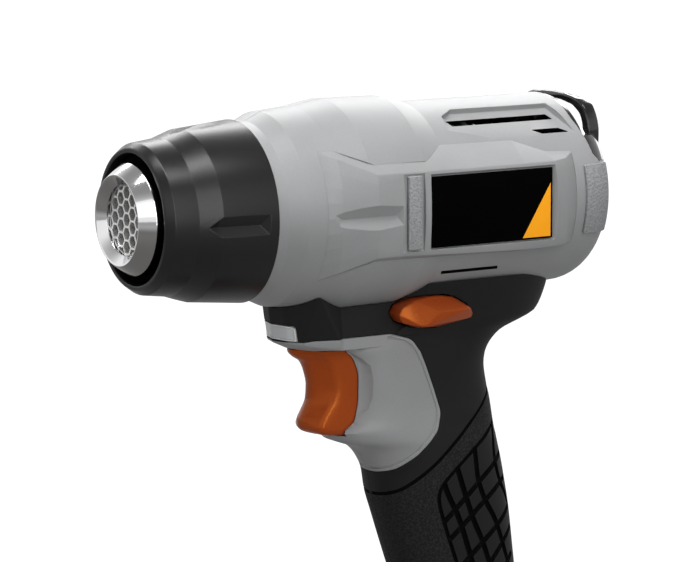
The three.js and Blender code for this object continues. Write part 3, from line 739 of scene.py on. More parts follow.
@dataclass(frozen=True)
class Finish:
    """A moulded or turned surface.

    Attributes:
        name: The finish's name.
        colour: Its colour in linear light.
        rough: Its mean roughness.
        metal: Whether it is metal.
        grain: The size of its fine grain in millimetres.
        depth: The depth of that grain in millimetres.
        mottle: How far its colour drifts over a few centimetres.
        edge: The rounding of its edges in millimetres.
        wear_and_highlight: How much paler its edges are: rubbed wear together with a painted highlight.
        gloss: The specular level.
        coat: The weight of a clear coat.
        tint: The colour of its gloss.
        RUBBED_AND_LIT: The light that a fully pale edge gives back, rubbed wear together with a painted highlight.
    """

    RUBBED_AND_LIT = 0.7

    name: str
    colour: Colour
    rough: float = 0.45
    metal: float = 0.0
    grain: float = 0.35
    depth: float = 0.02
    mottle: float = 0.05
    edge: float = 0.35
    wear_and_highlight: float = 0.06
    gloss: float = 0.5
    coat: float = 0.0
    tint: Colour = (1.0, 1.0, 1.0)

    def material(self) -> bpy.types.Material:
        """The material, made once.

        Returns:
            The material.
        """
        made = bpy.data.materials.get(self.name)
        if made:
            return made
        desk = Desk(self.name)
        self.dress(desk)
        return desk.material

    def dress(self, desk: Desk) -> None:
        """Lay out the nodes on a desk.

        Args:
            desk: The material's nodes.
        """
        normal, edges = desk.edges(self.edge)
        drift = desk.noise(28.0, 3.0)
        speck = desk.noise(self.grain * 2.2, 2.0)
        dark, pale = shaded(self.colour, 1 - self.mottle), shaded(self.colour, 1 + self.mottle)
        # Edges are painted paler: partly rubbed wear, partly a painted highlight.
        worn_and_lit = tuple(c + (self.RUBBED_AND_LIT - c) * self.wear_and_highlight for c in self.colour)
        body = desk.mix((drift * 0.7 + speck * 0.3).step(0.3, 0.7), dark, pale)
        desk.feed(
            Base_Color=desk.mix(edges * desk.noise(3.0).step(0.3, 0.75), body, worn_and_lit),
            Roughness=self.rough + (speck - 0.5) * 0.12 + (drift - 0.5) * 0.08,
            Metallic=self.metal, Specular_IOR_Level=self.gloss, Specular_Tint=self.tint,
            Coat_Weight=self.coat, Coat_Roughness=0.08,
            Normal=desk.bump(desk.noise(self.grain, 2.0), self.depth, normal))


@dataclass(frozen=True)
class Crinkled(Finish):
    """A coarse spark-eroded grip texture."""

    crinkle: float = 0.9

    def dress(self, desk: Desk) -> None:
        """Lay out the nodes on a desk.

        Args:
            desk: The material's nodes.
        """
        normal, edges = desk.edges(self.edge)
        lumps = desk.node("ShaderNodeTexVoronoi", {"feature": "SMOOTH_F1"}, {
            "Vector": desk.place, "Scale": 1.0 / self.crinkle, "Smoothness": 0.6}, "Distance")
        height = lumps * 0.8 + desk.noise(self.crinkle * 0.6, 3.0) * 0.6
        shade = desk.mix(height.step(0.35, 0.85), shaded(self.colour, 0.86), shaded(self.colour, 1.12))
        # Edges are painted lighter: a painted highlight.
        desk.feed(Base_Color=desk.mix(edges * 0.5, shade, shaded(self.colour, 1.3)),
                  Roughness=self.rough + (height - 0.6) * 0.15, Specular_IOR_Level=self.gloss,
                  Normal=desk.bump(height, self.depth, normal))


@dataclass(frozen=True)
class Chromed(Finish):
    """Polished metal with turning marks round the barrel's axis, with painted shade where it faces down."""

    # The colour of the painted shade on faces that look down, standing in for a darker reflection from below.
    DOWN_SHADE = (0.15, 0.14, 0.13)

    down_shade: float = 0.8

    def dress(self, desk: Desk) -> None:
        """Lay out the nodes on a desk.

        Args:
            desk: The material's nodes.
        """
        normal, _edges = desk.edges(self.edge)
        radius = (desk.y * desk.y + desk.z * desk.z).root()
        rings = desk.node("ShaderNodeTexNoise", {"noise_dimensions": "2D"}, {
            "Vector": desk.node("ShaderNodeCombineXYZ", {}, {0: radius * 6.0, 1: desk.x * 6.0}, "Vector"),
            "Scale": 2.0, "Detail": 2.0}, "Fac")
        haze = desk.noise(9.0, 3.0)
        bright = desk.mix(haze.step(0.35, 0.7), shaded(self.colour, 0.93), self.colour)
        # Faces that look down are painted darker: painted shade for the darker reflection from below.
        facing = desk.node("ShaderNodeNewGeometry", {}, {}, "Normal")
        down = 1.0 - desk.node("ShaderNodeSeparateXYZ", {}, {0: facing}, "Z").step(-0.1, 0.02)
        desk.feed(Base_Color=desk.mix(down * self.down_shade, bright, self.DOWN_SHADE),
                  Roughness=self.rough + (rings - 0.5) * 0.05 + (haze - 0.5) * 0.04,
                  Metallic=1.0, Normal=desk.bump(rings, self.depth, normal))


@dataclass(frozen=True)
class LabelPlate(Finish):
    """A plain plate with one slanted lower rear corner in a second colour, which glows a little as painted light."""

    corner: Colour = (0.9, 0.28, 0.02)
    foot: Point2 = (-111.6, 8.0)
    slope: Point2 = (21.5, 13.1)
    rear: float = -111.0
    bottom: float = -12.6
    glow: float = 0.3

    def dress(self, desk: Desk) -> None:
        """Lay out the nodes on a desk.

        Args:
            desk: The material's nodes.
        """
        normal, _edges = desk.edges(self.edge)
        slant = (desk.x - self.foot[0]) * self.slope[0] + (desk.z - self.foot[1]) * self.slope[1]
        mask = (slant < 0.0) * (desk.x > self.rear) * (desk.z > self.bottom)
        haze = desk.noise(14.0, 3.0)
        plain = desk.mix(haze.step(0.4, 0.7), self.colour, shaded(self.colour, 1.4))
        bright = desk.mix(haze.step(0.3, 0.7), self.corner, shaded(self.corner, 1.06))
        # The corner's glow is painted light that brightens it.
        desk.feed(Base_Color=desk.mix(mask, plain, bright), Roughness=self.rough + (haze - 0.5) * 0.06,
                  Emission_Color=desk.mix(mask, (0.0, 0.0, 0.0), bright), Emission_Strength=self.glow,
                  Specular_IOR_Level=self.gloss, Normal=desk.bump(desk.noise(0.6, 2.0), self.depth, normal))


@dataclass(frozen=True)
class GripRubber(Finish):
    """Soft overmould: smooth saddle and neck, grained hand zone, smooth pads inside the lattice."""

    BLEND = 0.25

    border: Tuple[Point2, ...] = ()
    panel: Tuple[Point2, ...] = ()

    def dress(self, desk: Desk) -> None:
        """Lay out the nodes on a desk.

        Args:
            desk: The material's nodes.
        """
        normal, edges = desk.edges(self.edge)
        below = self._sides(desk, tuple(reversed(self.border)), Wire.most)
        inside = self._sides(desk, self.panel, Wire.least)
        grained = below * (1.0 - inside)
        fine = desk.noise(0.35, 2.0)
        coarse = desk.noise(0.75, 3.0, 0.6)
        drift = desk.noise(25.0, 3.0)
        tone = desk.mix(drift.step(0.3, 0.7), shaded(self.colour, 0.9), shaded(self.colour, 1.1))
        sandy = desk.mix(coarse.step(0.42, 0.66), shaded(self.colour, 0.8), shaded(self.colour, 2.1))
        pads = desk.mix(inside, tone, shaded(self.colour, 0.92))
        shade = desk.mix(grained * 0.85, pads, sandy)
        height = fine * (0.25 - 0.15 * grained) + coarse * grained * 1.6
        # Edges are painted lighter: a painted highlight.
        desk.feed(Base_Color=desk.mix(edges * 0.2, shade, shaded(self.colour, 1.7, 0.01)),
                  Roughness=self.rough + grained * 0.12 + (fine - 0.5) * 0.1, Specular_IOR_Level=self.gloss,
                  Normal=desk.bump(height, self.depth, normal))

    @classmethod
    def _sides(cls, desk: Desk, line: Sequence[Point2], meet: Callable[[Wire, Wire], Wire]) -> Wire:
        """Mask one side of a bent line.

        Args:
            desk: The material's nodes.
            line: The line's corners in x and z, with the wanted side on the right of each edge.
            meet: How the edges' masks come together.

        Returns:
            The mask, 1 on that side.
        """
        mask: Optional[Wire] = None
        for (x0, z0), (x1, z1) in zip(line, line[1:]):
            dx, dz = x1 - x0, z1 - z0
            length = math.hypot(dx, dz)
            off = (desk.x - x0) * (dz / length) - (desk.z - z0) * (dx / length)
            side = off.step(-cls.BLEND, cls.BLEND)
            mask = side if mask is None else meet(mask, side)
        return mask


class Palette:
    """The tool's finishes."""

    HOUSING = Finish("light_grey_housing", srgb(171, 172, 173), 0.45, edge=0.35, wear_and_highlight=0.25, gloss=0.3)
    # Near-black painted shade for the housing's inside and its slots.
    PAINTED_SHADE_INSIDE = Finish("painted_shade_inside", srgb(9, 9, 10), 0.8, gloss=0.05)
    TRIM = Crinkled("sand_textured_trim", srgb(164, 165, 167), 0.7, depth=0.28, wear_and_highlight=0.2)
    COLLAR = Finish("satin_black_collar", srgb(20, 20, 21), 0.32, depth=0.006, edge=0.5,
                    wear_and_highlight=0.04, gloss=0.36)
    GRIP = GripRubber("soft_grip_rubber", srgb(33, 33, 33), 0.55, depth=0.09, edge=0.4, gloss=0.14)
    # Near-black painted shade for the grip's grooves.
    GROOVE_SHADE = Finish("painted_groove_shade", srgb(8, 8, 8), 0.8, gloss=0.05)
    CAP = Finish("glossy_rear_cap", srgb(22, 22, 23), 0.14, depth=0.004, edge=0.4, wear_and_highlight=0.05, coat=0.3)
    ORANGE = Finish("burnt_orange_plastic", srgb(178, 76, 32), 0.24, depth=0.004, edge=0.6, wear_and_highlight=0.04,
                    gloss=0.9, tint=(1.0, 0.32, 0.07))
    LABEL = LabelPlate("plain_label_plate", srgb(3, 3, 3), 0.5, depth=0.002, gloss=0.01,
                       corner=srgb(255, 168, 36))
    CHROME = Chromed("chromed_outlet", (0.82, 0.82, 0.83), 0.1, depth=0.002, edge=0.3)
    GRILLE = Chromed("bright_grille", (0.92, 0.92, 0.92), 0.55, depth=0.003, edge=0.12, down_shade=0.2)
    STEEL = Finish("plain_steel", (0.52, 0.53, 0.54), 0.32, metal=1.0, depth=0.004, edge=0.2)
    MICA = Finish("mica_sheet", srgb(203, 182, 140), 0.75, grain=1.2, depth=0.05, mottle=0.25)
    CERAMIC = Finish("fired_ceramic", srgb(225, 220, 208), 0.8, grain=0.5, depth=0.04, mottle=0.06)
    WIRE = Finish("oxidised_heating_wire", srgb(96, 80, 66), 0.5, metal=0.8, grain=0.5, mottle=0.3)
    BOARD = Finish("circuit_board", srgb(28, 84, 48), 0.4, grain=1.5, depth=0.03, mottle=0.25, coat=0.3)
    RIM = Finish("pale_window_rim", srgb(252, 252, 252), 0.2, depth=0.004, edge=0.3, wear_and_highlight=0.0, gloss=1.0,
                 coat=0.8)
    LENS = Finish("frosted_window", srgb(226, 229, 232), 0.22, depth=0.006, edge=0.3, coat=0.5)
    CASE = Finish("satin_black_case", srgb(32, 32, 34), 0.45, edge=0.6, wear_and_highlight=0.06)
    INNER = Finish("plain_black_moulding", srgb(20, 20, 21), 0.6, gloss=0.2)
    RED = Finish("red_lead_insulation", srgb(160, 32, 22), 0.42, mottle=0.08)
    BLACK = Finish("black_lead_insulation", srgb(20, 20, 21), 0.42, mottle=0.08)
    CELL = Finish("shrink_wrapped_cell", srgb(52, 104, 168), 0.3, depth=0.01, mottle=0.08, coat=0.4)


# Forms that several pieces share

# The grip's height, front, rear, half width and front power, from the saddle down to the foot
GRIP_SECTIONS = (
    (-29.0, -60.0, -131.0, 21.3, 5.0), (-34.0, -60.0, -130.0, 20.3, 5.0), (-39.4, -60.0, -128.3, 19.1, 5.0),
    (-44.4, -59.0, -125.4, 18.2, 5.0), (-47.0, -52.0, -120.0, 17.7, 4.0), (-48.6, -44.0, -116.0, 17.3, 3.2),
    (-50.2, -39.0, -112.0, 17.1, 3.0), (-52.0, -37.5, -109.2, 17.0, 3.2), (-55.7, -41.6, -105.4, 17.0, 3.6),
    (-58.8, -43.2, -103.8, 17.05, 3.7), (-62.4, -44.3, -103.2, 17.1, 3.8), (-71.0, -44.1, -104.5, 17.15, 3.7),
    (-75.0, -43.2, -105.6, 17.2, 3.5), (-79.0, -41.6, -106.4, 17.4, 3.2), (-83.0, -36.6, -107.2, 17.5, 2.9),
    (-85.4, -38.1, -107.6, 17.6, 2.7), (-87.7, -40.8, -108.0, 17.6, 2.6), (-88.9, -45.5, -108.3, 17.6, 2.55),
    (-91.4, -50.2, -108.8, 17.6, 2.5), (-96.6, -54.2, -110.0, 17.6, 2.4), (-100.2, -55.8, -110.8, 17.6, 2.4),
    (-108.0, -57.1, -112.4, 17.4, 2.4), (-116.6, -59.8, -114.0, 17.15, 2.4), (-135.7, -66.2, -116.4, 16.6, 2.4),
    (-150.0, -71.5, -118.0, 16.4, 2.4), (-158.0, -74.5, -119.2, 16.4, 2.4))
GRIP_REAR_POWER = 2.4
WINDOW_MIDDLE = (-30.0, -72.0)
WINDOW = ((12.0, -48.8), (-16.0, -48.4), (-25.0, -47.4), (-37.0, -47.4), (-56.4, -47.3), (-64.5, -49.7),
          (-68.2, -54.7), (-70.6, -60.4), (-73.8, -68.9), (-76.7, -77.4), (-75.5, -84.2), (-72.3, -88.0),
          (-67.0, -93.2), (-60.5, -98.0), (-55.0, -100.2), (12.0, -100.4))
REAR_EDGE = ((-200.0, 12.4), (-136.0, 12.4), (-133.4, 15.4), (-132.1, 20.5), (-129.9, 27.5), (-129.7, FAR),
             (-200.0, FAR))


class Forms:
    """Outer forms, each drawn smaller all round by an inset, and the cuts that pieces share."""

    @staticmethod
    def barrel(inset: float, front: float = -0.3, steps: int = 128) -> bpy.types.Object:
        """The barrel with its swell and its domed rear.

        Args:
            inset: How far it lies inside the outer face.
            front: Where its front end lies along the barrel.
            steps: How many steps the turn has.

        Returns:
            The solid.
        """
        corners = [(front, 32.2), (-4.4, 32.2), (-10.8, 35.2), (-23.9, 36.4), (-36.2, 38.35), (-59.5, 37.95),
                   (-69.6, 35.2), (-90.0, 35.1), (-110.0, 35.0), (-129.8, 35.0)]
        side = fillet([(x, r - inset) for x, r in corners], [0, 0.6, 1.5, 1.5, 2, 2, 2, 0, 0, 0], closed=False)
        arc = [(-129.8 - (14 - inset) * math.sin(a), 21 + (14 - inset) * math.cos(a))
               for a in (math.pi / 2 * k / 12 for k in range(1, 13))]
        return Bench.turned([(front, 0.0), *side, *arc, (-143.8 + inset, 0.0)], steps)

    @staticmethod
    def saddle(inset: float) -> bpy.types.Object:
        """The black moulding's nose and waist under the barrel.

        Args:
            inset: How far it lies inside the outer face.

        Returns:
            The solid, with softened edges where it is an outer face.
        """
        top, floor = -29.0, -51.6 + inset

        def level(points: Sequence[Point2], z: float, push: float = 0.0) -> List[Point3]:
            """Corners on both sides at one height."""
            return [(x + push, side * max(half - inset, 0.0), z) for x, half in points for side in (1, -1)]

        nose = Bench.hull(level([(-13.2, 0), (-15, 8), (-18.9, 14.5), (-23.0, 20.6)], top, -inset)
                          + level([(-15.9, 0), (-17.7, 7.3), (-21.3, 13.2)], -49.0 + inset, -inset)
                          + level([(-21.6, 0), (-23.4, 6), (-26.7, 11.5), (-36, 15.6)], floor, -inset)
                          + level([(-36.5, 12)], top) + level([(-36.5, 16)], floor))
        waist = Bench.hull(level([(-35, 12), (-62, 12)], top) + level([(-35, 16), (-62, 16)], floor))
        for piece in (nose, waist):
            if inset < 1:
                Bench.soften(piece, 0.5, 2, 10.0)
        return Bench.combine(Combine.JOIN, nose, waist)

    @staticmethod
    def grip_half(x: float, z: float) -> float:
        """Half the grip's width at a place on its side.

        Args:
            x: The place along the barrel.
            z: The height.

        Returns:
            The distance from the seam.
        """
        front, rear, half, power = between(GRIP_SECTIONS, z)
        middle, depth = (front + rear) / 2, (front - rear) / 2
        part = min(0.999, abs(x - middle) / depth)
        power = power if x > middle else GRIP_REAR_POWER
        return half * (1 - part ** power) ** (1 / power)

    @staticmethod
    def grip(inset: float, sides: int = 72, levels: int = 100) -> bpy.types.Object:
        """The hip, the tail and the hand grip, squarer in front, with the hip's front slanted down to the waist.

        Args:
            inset: How far it lies inside the outer face.
            sides: How many corners go round it.
            levels: How many steps it has from top to bottom.

        Returns:
            The solid.
        """
        top, bottom = GRIP_SECTIONS[0][0], GRIP_SECTIONS[-1][0]
        sections = []
        for i in range(levels + 1):
            z = top + (bottom - top) * i / levels
            front, rear, half, power = between(GRIP_SECTIONS, z)
            middle, depth = (front + rear) / 2, (front - rear) / 2 - inset
            ring = []
            for k in range(sides):
                a = 2 * math.pi * k / sides
                n = power if math.cos(a) > 0 else GRIP_REAR_POWER
                c, s = math.cos(a), math.sin(a)
                ring.append((middle + math.copysign(abs(c) ** (2 / n), c) * depth,
                             math.copysign(abs(s) ** (2 / n), s) * (half - inset), z))
            sections.append(ring)
        grip = Bench.loft(sections)
        for side in (1, -1):
            slant = [(x, side * (y - inset), z) for z, corners in (
                (-25.0, ((-60.5, 12.2), (-70, 21.3), (-80, 31), (-20, 31), (-20, 12.2))),
                (-48.2, ((-60.5, 15.9), (-70, 17.4), (-72, 31), (-20, 31), (-20, 15.9)))) for x, y in corners]
            Bench.combine(Combine.CUT, grip, Bench.hull(slant))
        return grip

    @staticmethod
    def hand(inset: float = 0.0) -> bpy.types.Object:
        """The saddle and the grip as one solid, with coarser steps where it is an inner form."""
        grip = Forms.grip(inset, 40, 40) if inset else Forms.grip(inset)
        return Bench.combine(Combine.JOIN, Forms.saddle(inset), grip)

    @staticmethod
    def foot(inset: float, bottom: float = -178.0) -> bpy.types.Object:
        """The flare from the grip down to the battery rail.

        Args:
            inset: How far it lies inside the outer face.
            bottom: The height of its underside.

        Returns:
            The solid.
        """
        def plan(front: float, rear: float, half: float, chamfer: float, z: float) -> List[Point3]:
            """The foot's outline at one height.

            Args:
                front: Its front end.
                rear: Its rear end.
                half: Half its width.
                chamfer: What its corners lose.
                z: The height.

            Returns:
                The corners on both sides.
            """
            corners = [(front - inset, half - chamfer - inset), (front - chamfer - inset, half - inset),
                       (rear + chamfer + inset, half - inset), (rear + inset, half - chamfer - inset)]
            return [(x, side * y, z) for x, y in corners for side in (1, -1)]
        piece = Bench.hull(plan(-74, -118, 16.4, 6, -150) + plan(-54, -138, 34, 6, -164)
                           + plan(-54, -138, 34, 6, bottom))
        return Bench.soften(piece, 1.6, 4, 15.0) if inset < 1 else piece

    @staticmethod
    def bar(line: Sequence[Point2], radius: float, side: Side) -> bpy.types.Object:
        """A round bar along a line of x and z that lies on the grip's side.

        Args:
            line: The line's corners, which are rounded off.
            radius: The bar's radius.
            side: The tool's side.

        Returns:
            The bar.
        """
        dense: List[Point2] = []
        for a, b in zip(line, line[1:]):
            count = max(2, round(math.dist(a, b) / 1.5))
            dense += [(a[0] + (b[0] - a[0]) * k / count, a[1] + (b[1] - a[1]) * k / count) for k in range(count)]
        dense.append(line[-1])
        for _ in range(4):
            dense = [dense[0], *(((p[0] + 2 * q[0] + r[0]) / 4, (p[1] + 2 * q[1] + r[1]) / 4)
                                 for p, q, r in zip(dense, dense[1:], dense[2:])), dense[-1]]
        curve = bpy.data.curves.new("groove", "CURVE")
        curve.dimensions = "3D"
        curve.bevel_depth = radius
        curve.bevel_resolution = 2
        curve.use_fill_caps = True
        spline = curve.splines.new("POLY")
        spline.points.add(len(dense) - 1)
        for point, (x, z) in zip(spline.points, dense):
            point.co = (x, side.value * (Forms.grip_half(x, z) - radius * 0.1), z, 1.0)
        bar = bpy.data.objects.new("groove", curve)
        bpy.context.scene.collection.objects.link(bar)
        Bench.pick(bar)
        bpy.ops.object.convert(target="MESH")
        return Bench.tidy(bpy.context.object)

    @staticmethod
    def window(gap: float) -> bpy.types.Object:
        """The part of the grip where the grey housing shows round the trigger."""
        return Bench.side_prism(fillet(grown(WINDOW, WINDOW_MIDDLE, gap), 6.0, steps=5), -FAR, FAR)

    @staticmethod
    def trigger_opening() -> bpy.types.Object:
        """The opening that the trigger slides in."""
        outline = [(0, -51.6), (-60, -51.6), (-60, -84.4), (0, -84.4)]
        return Bench.side_prism(outline, -10.5, 10.5)

    @staticmethod
    def trigger_rim() -> bpy.types.Object:
        """The hollow that runs round the trigger's edge into the surround.

        Returns:
            The tool that cuts it on both sides.
        """
        edge = [(0, -51.4), (-33.2, -51.4), (-39.6, -51.9), (-43.0, -53.9), (-44.9, -57.0), (-45.7, -61.0),
                (-45.9, -65.0), (-45.7, -71.5), (-44.7, -75.7), (-42.8, -79.8), (-40.4, -82.4), (-35.6, -83.8),
                (0, -83.8)]
        edge = fillet(edge, 6.0, closed=False, steps=4)
        solids = []
        for side in (1, -1):
            rings = []
            for y, out in ((10.55, 0.0), (10.8, 0.6), (11.3, 1.3), (12.2, 2.3), (13.5, 3.2), (15.0, 4.0),
                           (FAR, 5.5)):
                ring = []
                for k, (x, z) in enumerate(edge):
                    before, after = edge[max(0, k - 1)], edge[min(len(edge) - 1, k + 1)]
                    run = Vector(after) - Vector(before)
                    away = Vector((run.y, -run.x)).normalized() * -1.0
                    part = 1.0 - 0.5 * abs(away.y)
                    ring.append((x - abs(away.x) * out, side * y, z + away.y * out * part))
                rings.append(ring)
            solids.append(Bench.loft(rings))
        return Bench.combine(Combine.JOIN, *solids)

    @staticmethod
    def light_opening(gap: float, low: float = 0.0) -> bpy.types.Object:
        """The opening of the light window in the nose, with a smaller gap below if given.

        Args:
            gap: How much larger it is all round.
            low: The gap below, or 0 for the same.

        Returns:
            The tool that cuts it.
        """
        floor = -47.6 - (low or gap)
        outline = fillet([(-10.6 - gap, floor), (10.6 + gap, floor), (10.6 + gap, -42.2 + gap),
                          (-10.6 - gap, -42.2 + gap)], [0.4, 0.4, 1.3 + gap, 1.3 + gap])
        return Bench.front_prism(outline, -25.0, 0.0)

    @staticmethod
    def groove(valley: Sequence[Point3], corners: Sequence[Tuple[float, ...]]) -> bpy.types.Object:
        """A tool for a groove with slanted sides.

        Args:
            valley: The two ends of its deepest line.
            corners: Where its edges meet the surface, each with the valley's end that it slants from.

        Returns:
            The tool, reaching well out of the surface.
        """
        out = [tuple(v + 3.0 * (c - v) for c, v in zip(corner[1:], valley[int(corner[0])])) for corner in corners]
        return Bench.hull([*valley, *out])


@dataclass
class Housing:
    """The grey housing: barrel, side panels, trigger surround, core of the grip and foot."""

    wall: float = 2.5
    cover: float = 2.1
    channel_half: float = 15.5
    rail_half: float = 19.5
    rail_rear: float = -133.5
    sole: float = -180.0
    pillar: float = 4.0
    hem_inset: float = 1.5
    hem_radius: float = 0.4

    # The panel's stations: x, upper outer, upper inner, lower inner and lower outer z, crown share, drop
    PANEL = ((-18.0, 23.4, 23.0, -22.8, -23.4, 0.0, 0.0), (-24.0, 23.3, 20.6, -20.6, -21.5, 0.3, 0.0),
             (-38.0, 18.0, 14.6, -15.4, -16.8, 1.0, 0.0), (-49.0, 17.9, 14.6, -15.4, -16.8, 1.0, 0.0),
             (-60.5, 17.8, 14.6, -15.8, -17.2, 1.0, 0.0), (-69.0, 22.2, 14.6, -16.2, -17.6, 1.0, 0.0),
             (-100.0, 22.0, 14.6, -17.0, -18.4, 1.0, 0.0), (-113.0, 17.5, 14.7, -16.8, -18.0, 1.0, 0.0),
             (-118.5, 17.2, 15.4, -16.4, -17.4, 1.0, 0.25), (-124.0, 17.0, 16.4, -16.0, -16.6, 0.0, 0.0))
    # The barrel's radius by x under the panel
    SWELL = ((0.0, 32.2), (-4.4, 32.2), (-10.8, 35.2), (-23.9, 36.4), (-36.2, 38.3), (-59.5, 37.9), (-69.6, 35.2),
             (-140.0, 35.0))

    def build(self) -> None:
        """Model both halves and dress them."""
        whole = self._outer()
        # The cavity's faces, and the slots' among the cuts, take the second finish, near-black painted shade.
        Bench.combine(Combine.CUT, whole, Bench.second(self._cavity()), *self._cuts())
        for side in Side:
            half = Bench.halve(whole, side)
            Bench.finish(half, f"housing_half_{side.word}", "body", "housing", Palette.HOUSING, Palette.PAINTED_SHADE_INSIDE,
                         stands_for=[f"housing_{side.word}"], smooth=24.0)
        bpy.data.objects.remove(whole, do_unlink=True)

    def _outer(self) -> bpy.types.Object:
        """The outside of both halves as one solid.

        Returns:
            The solid.
        """
        whole = Forms.barrel(0.0)
        for side in Side:
            Bench.combine(Combine.CUT, whole, self._panel_seat(side))
            Bench.combine(Combine.JOIN, whole, self._panel(side))
        surround = Bench.combine(Combine.COMMON, Forms.hand(), Forms.window(0.0))
        Bench.soften(surround, 0.9, 3, 50.0)
        hem = grown(WINDOW[4:-1], WINDOW_MIDDLE, -self.hem_inset)
        Bench.combine(Combine.CUT, surround, *(Forms.bar(hem, self.hem_radius, side) for side in Side),
                      Forms.trigger_rim())
        return Bench.combine(Combine.JOIN, whole, surround, Forms.hand(self.cover), Forms.foot(0.0))

    def _swell(self, x: float) -> float:
        """The barrel's radius at a place along it."""
        (x0, r0), (x1, r1) = next(pair for pair in zip(self.SWELL, self.SWELL[1:]) if x >= pair[1][0])
        return r0 + (r1 - r0) * (x - x0) / (x1 - x0)

    def _panel(self, side: Side) -> bpy.types.Object:
        """One raised side panel with its bevelled border.

        Args:
            side: The tool's side.

        Returns:
            The panel, reaching well into the barrel.
        """
        sections, steps, root = [], 8, 20.0
        for x, top_out, top_in, low_in, low_out, share, drop in self.PANEL:
            radius = self._swell(x)

            def skin(z: float, crowned: float = share) -> float:
                """How far out the panel's face lies at a height."""
                round_face = math.sqrt(radius * radius - z * z)
                return round_face * (1 - crowned) + (38.3 - z * z / 160 - drop * 4) * crowned
            face = [low_in + (top_in - low_in) * k / steps for k in range(steps + 1)]
            ring = [(root, low_out), (skin(low_out, 0.0), low_out), *((skin(z), z) for z in face),
                    (skin(top_out, 0.0), top_out), (root, top_out)]
            sections.append([(x, side.value * y, z) for y, z in ring])
        panel = Bench.loft(sections)
        Bench.soften(panel, 0.4, 2, 6.0)
        s = side.value
        arrow = Forms.groove([(-45.9, s * 36.2, -0.5), (-24.0, s * 35.6, -0.5)],
                             [(0, -48.0, s * 38.3, 3.0), (0, -48.0, s * 38.3, -4.0), (1, -18.0, s * 37.0, 3.0),
                              (1, -21.4, s * 37.0, -4.0)])
        recesses = [
            Bench.block((-57.2, s * 36.6, -14.0), (-48.6, s * FAR, 13.9)),
            Bench.hull([(x, s * y, z) for y, low, high, rear, front in (
                (36.1, -13.6, 12.8, -112.1, -60.2), (37.6, -14.2, 13.6, -113.4, -59.7),
                (40.0, -14.9, 14.6, -115.5, -59.2)) for x in (rear, front) for z in (low, high)]), arrow]
        return Bench.combine(Combine.CUT, panel, *recesses)

    def _panel_seat(self, side: Side) -> bpy.types.Object:
        """What the barrel gives up where the panel lies.

        Args:
            side: The tool's side.

        Returns:
            The tool that cuts it.
        """
        overlap = 0.1
        outline = [(row[0], row[1] - overlap) for row in self.PANEL]
        outline += [(row[0], row[4] + overlap) for row in reversed(self.PANEL)]
        return Bench.side_prism(outline, side.value * 27.0, side.value * FAR)

    def _cavity(self) -> bpy.types.Object:
        """The hollow inside, less the screw pillars and the seam's ribs, which stay clear of the fan.

        Returns:
            The solid to take away.
        """
        inset = self.cover + self.wall
        hollow = Bench.combine(Combine.JOIN, Forms.barrel(self.wall, 1.0, 64), Forms.saddle(inset),
                               Forms.grip(inset, 40, 40), Forms.foot(self.wall, -168.3))
        pillars = [Bench.rod(self.pillar, (x, -FAR, z), (x, FAR, z), 24) for x, z in Fasteners.PLACES]
        seam_ribs = [Bench.block((-127.0, -1.0, 25.0), (-89.0, 1.0, FAR)),
                     Bench.block((-89.0, -1.0, 28.9), (-60.0, 1.0, FAR))]
        return Bench.combine(Combine.CUT, hollow, *pillars, *seam_ribs)

    def _cuts(self) -> List[bpy.types.Object]:
        """Everything that is cut through or into the wall.

        Returns:
            The tools, which are used up one by one.
        """
        channel = Bench.block((self.rail_rear, -self.channel_half, self.sole), (0, self.channel_half, -173.2))
        rails = Bench.block((self.rail_rear, -self.rail_half, -174.2), (0, self.rail_half, -170.3))
        latch_notch = Bench.block((-58, -6.5, self.sole), (0, 6.5, -168.5))
        lead_passage = Bench.block((self.rail_rear, -6, -173), (-128.5, 6, -164))
        light_passage = Bench.block((-26, -8, -46.5), (0, 8, -43))
        cuts = [channel, rails, latch_notch, lead_passage, light_passage, Bench.side_prism(REAR_EDGE, -FAR, FAR),
                RearCap.plug(0.0), Forms.trigger_opening(), Selector.tunnel(0.7)]
        for side in Side:
            cuts.extend(self._vents(side))
        return cuts + Fasteners.bores(0.3)

    @staticmethod
    def _vents(side: Side) -> List[bpy.types.Object]:
        """The slots of one side and the shallow field, with its flat floor, that they lie in.

        Args:
            side: The tool's side.

        Returns:
            The tools, the slots with the second finish, which is near-black painted shade.
        """
        def slot(x0: float, x1: float, degrees: float, width: float, lean: float = 0.0) -> bpy.types.Object:
            """A slot with slanted ends, cut towards the barrel's axis.

            Args:
                x0: Its rear end.
                x1: Its front end.
                degrees: The angle from the top.
                width: Its width.
                lean: How far its ends slant.

            Returns:
                The tool that cuts it.
            """
            half = width / 2
            outline = fillet([(x0, half), (x1 - lean, half), (x1, -half), (x0 + lean, -half)], 0.4)
            piece = Bench.prism([(x, y, 24.0) for x, y in outline], (0, 0, 40))
            Bench.edit(piece)
            turn = math.radians(degrees)
            for vert in bmesh.from_edit_mesh(piece.data).verts:
                y, z = vert.co.y, vert.co.z
                vert.co.y = side.value * (y * math.cos(turn) + z * math.sin(turn))
                vert.co.z = z * math.cos(turn) - y * math.sin(turn)
            bpy.ops.object.mode_set(mode="OBJECT")
            return Bench.tidy(piece)

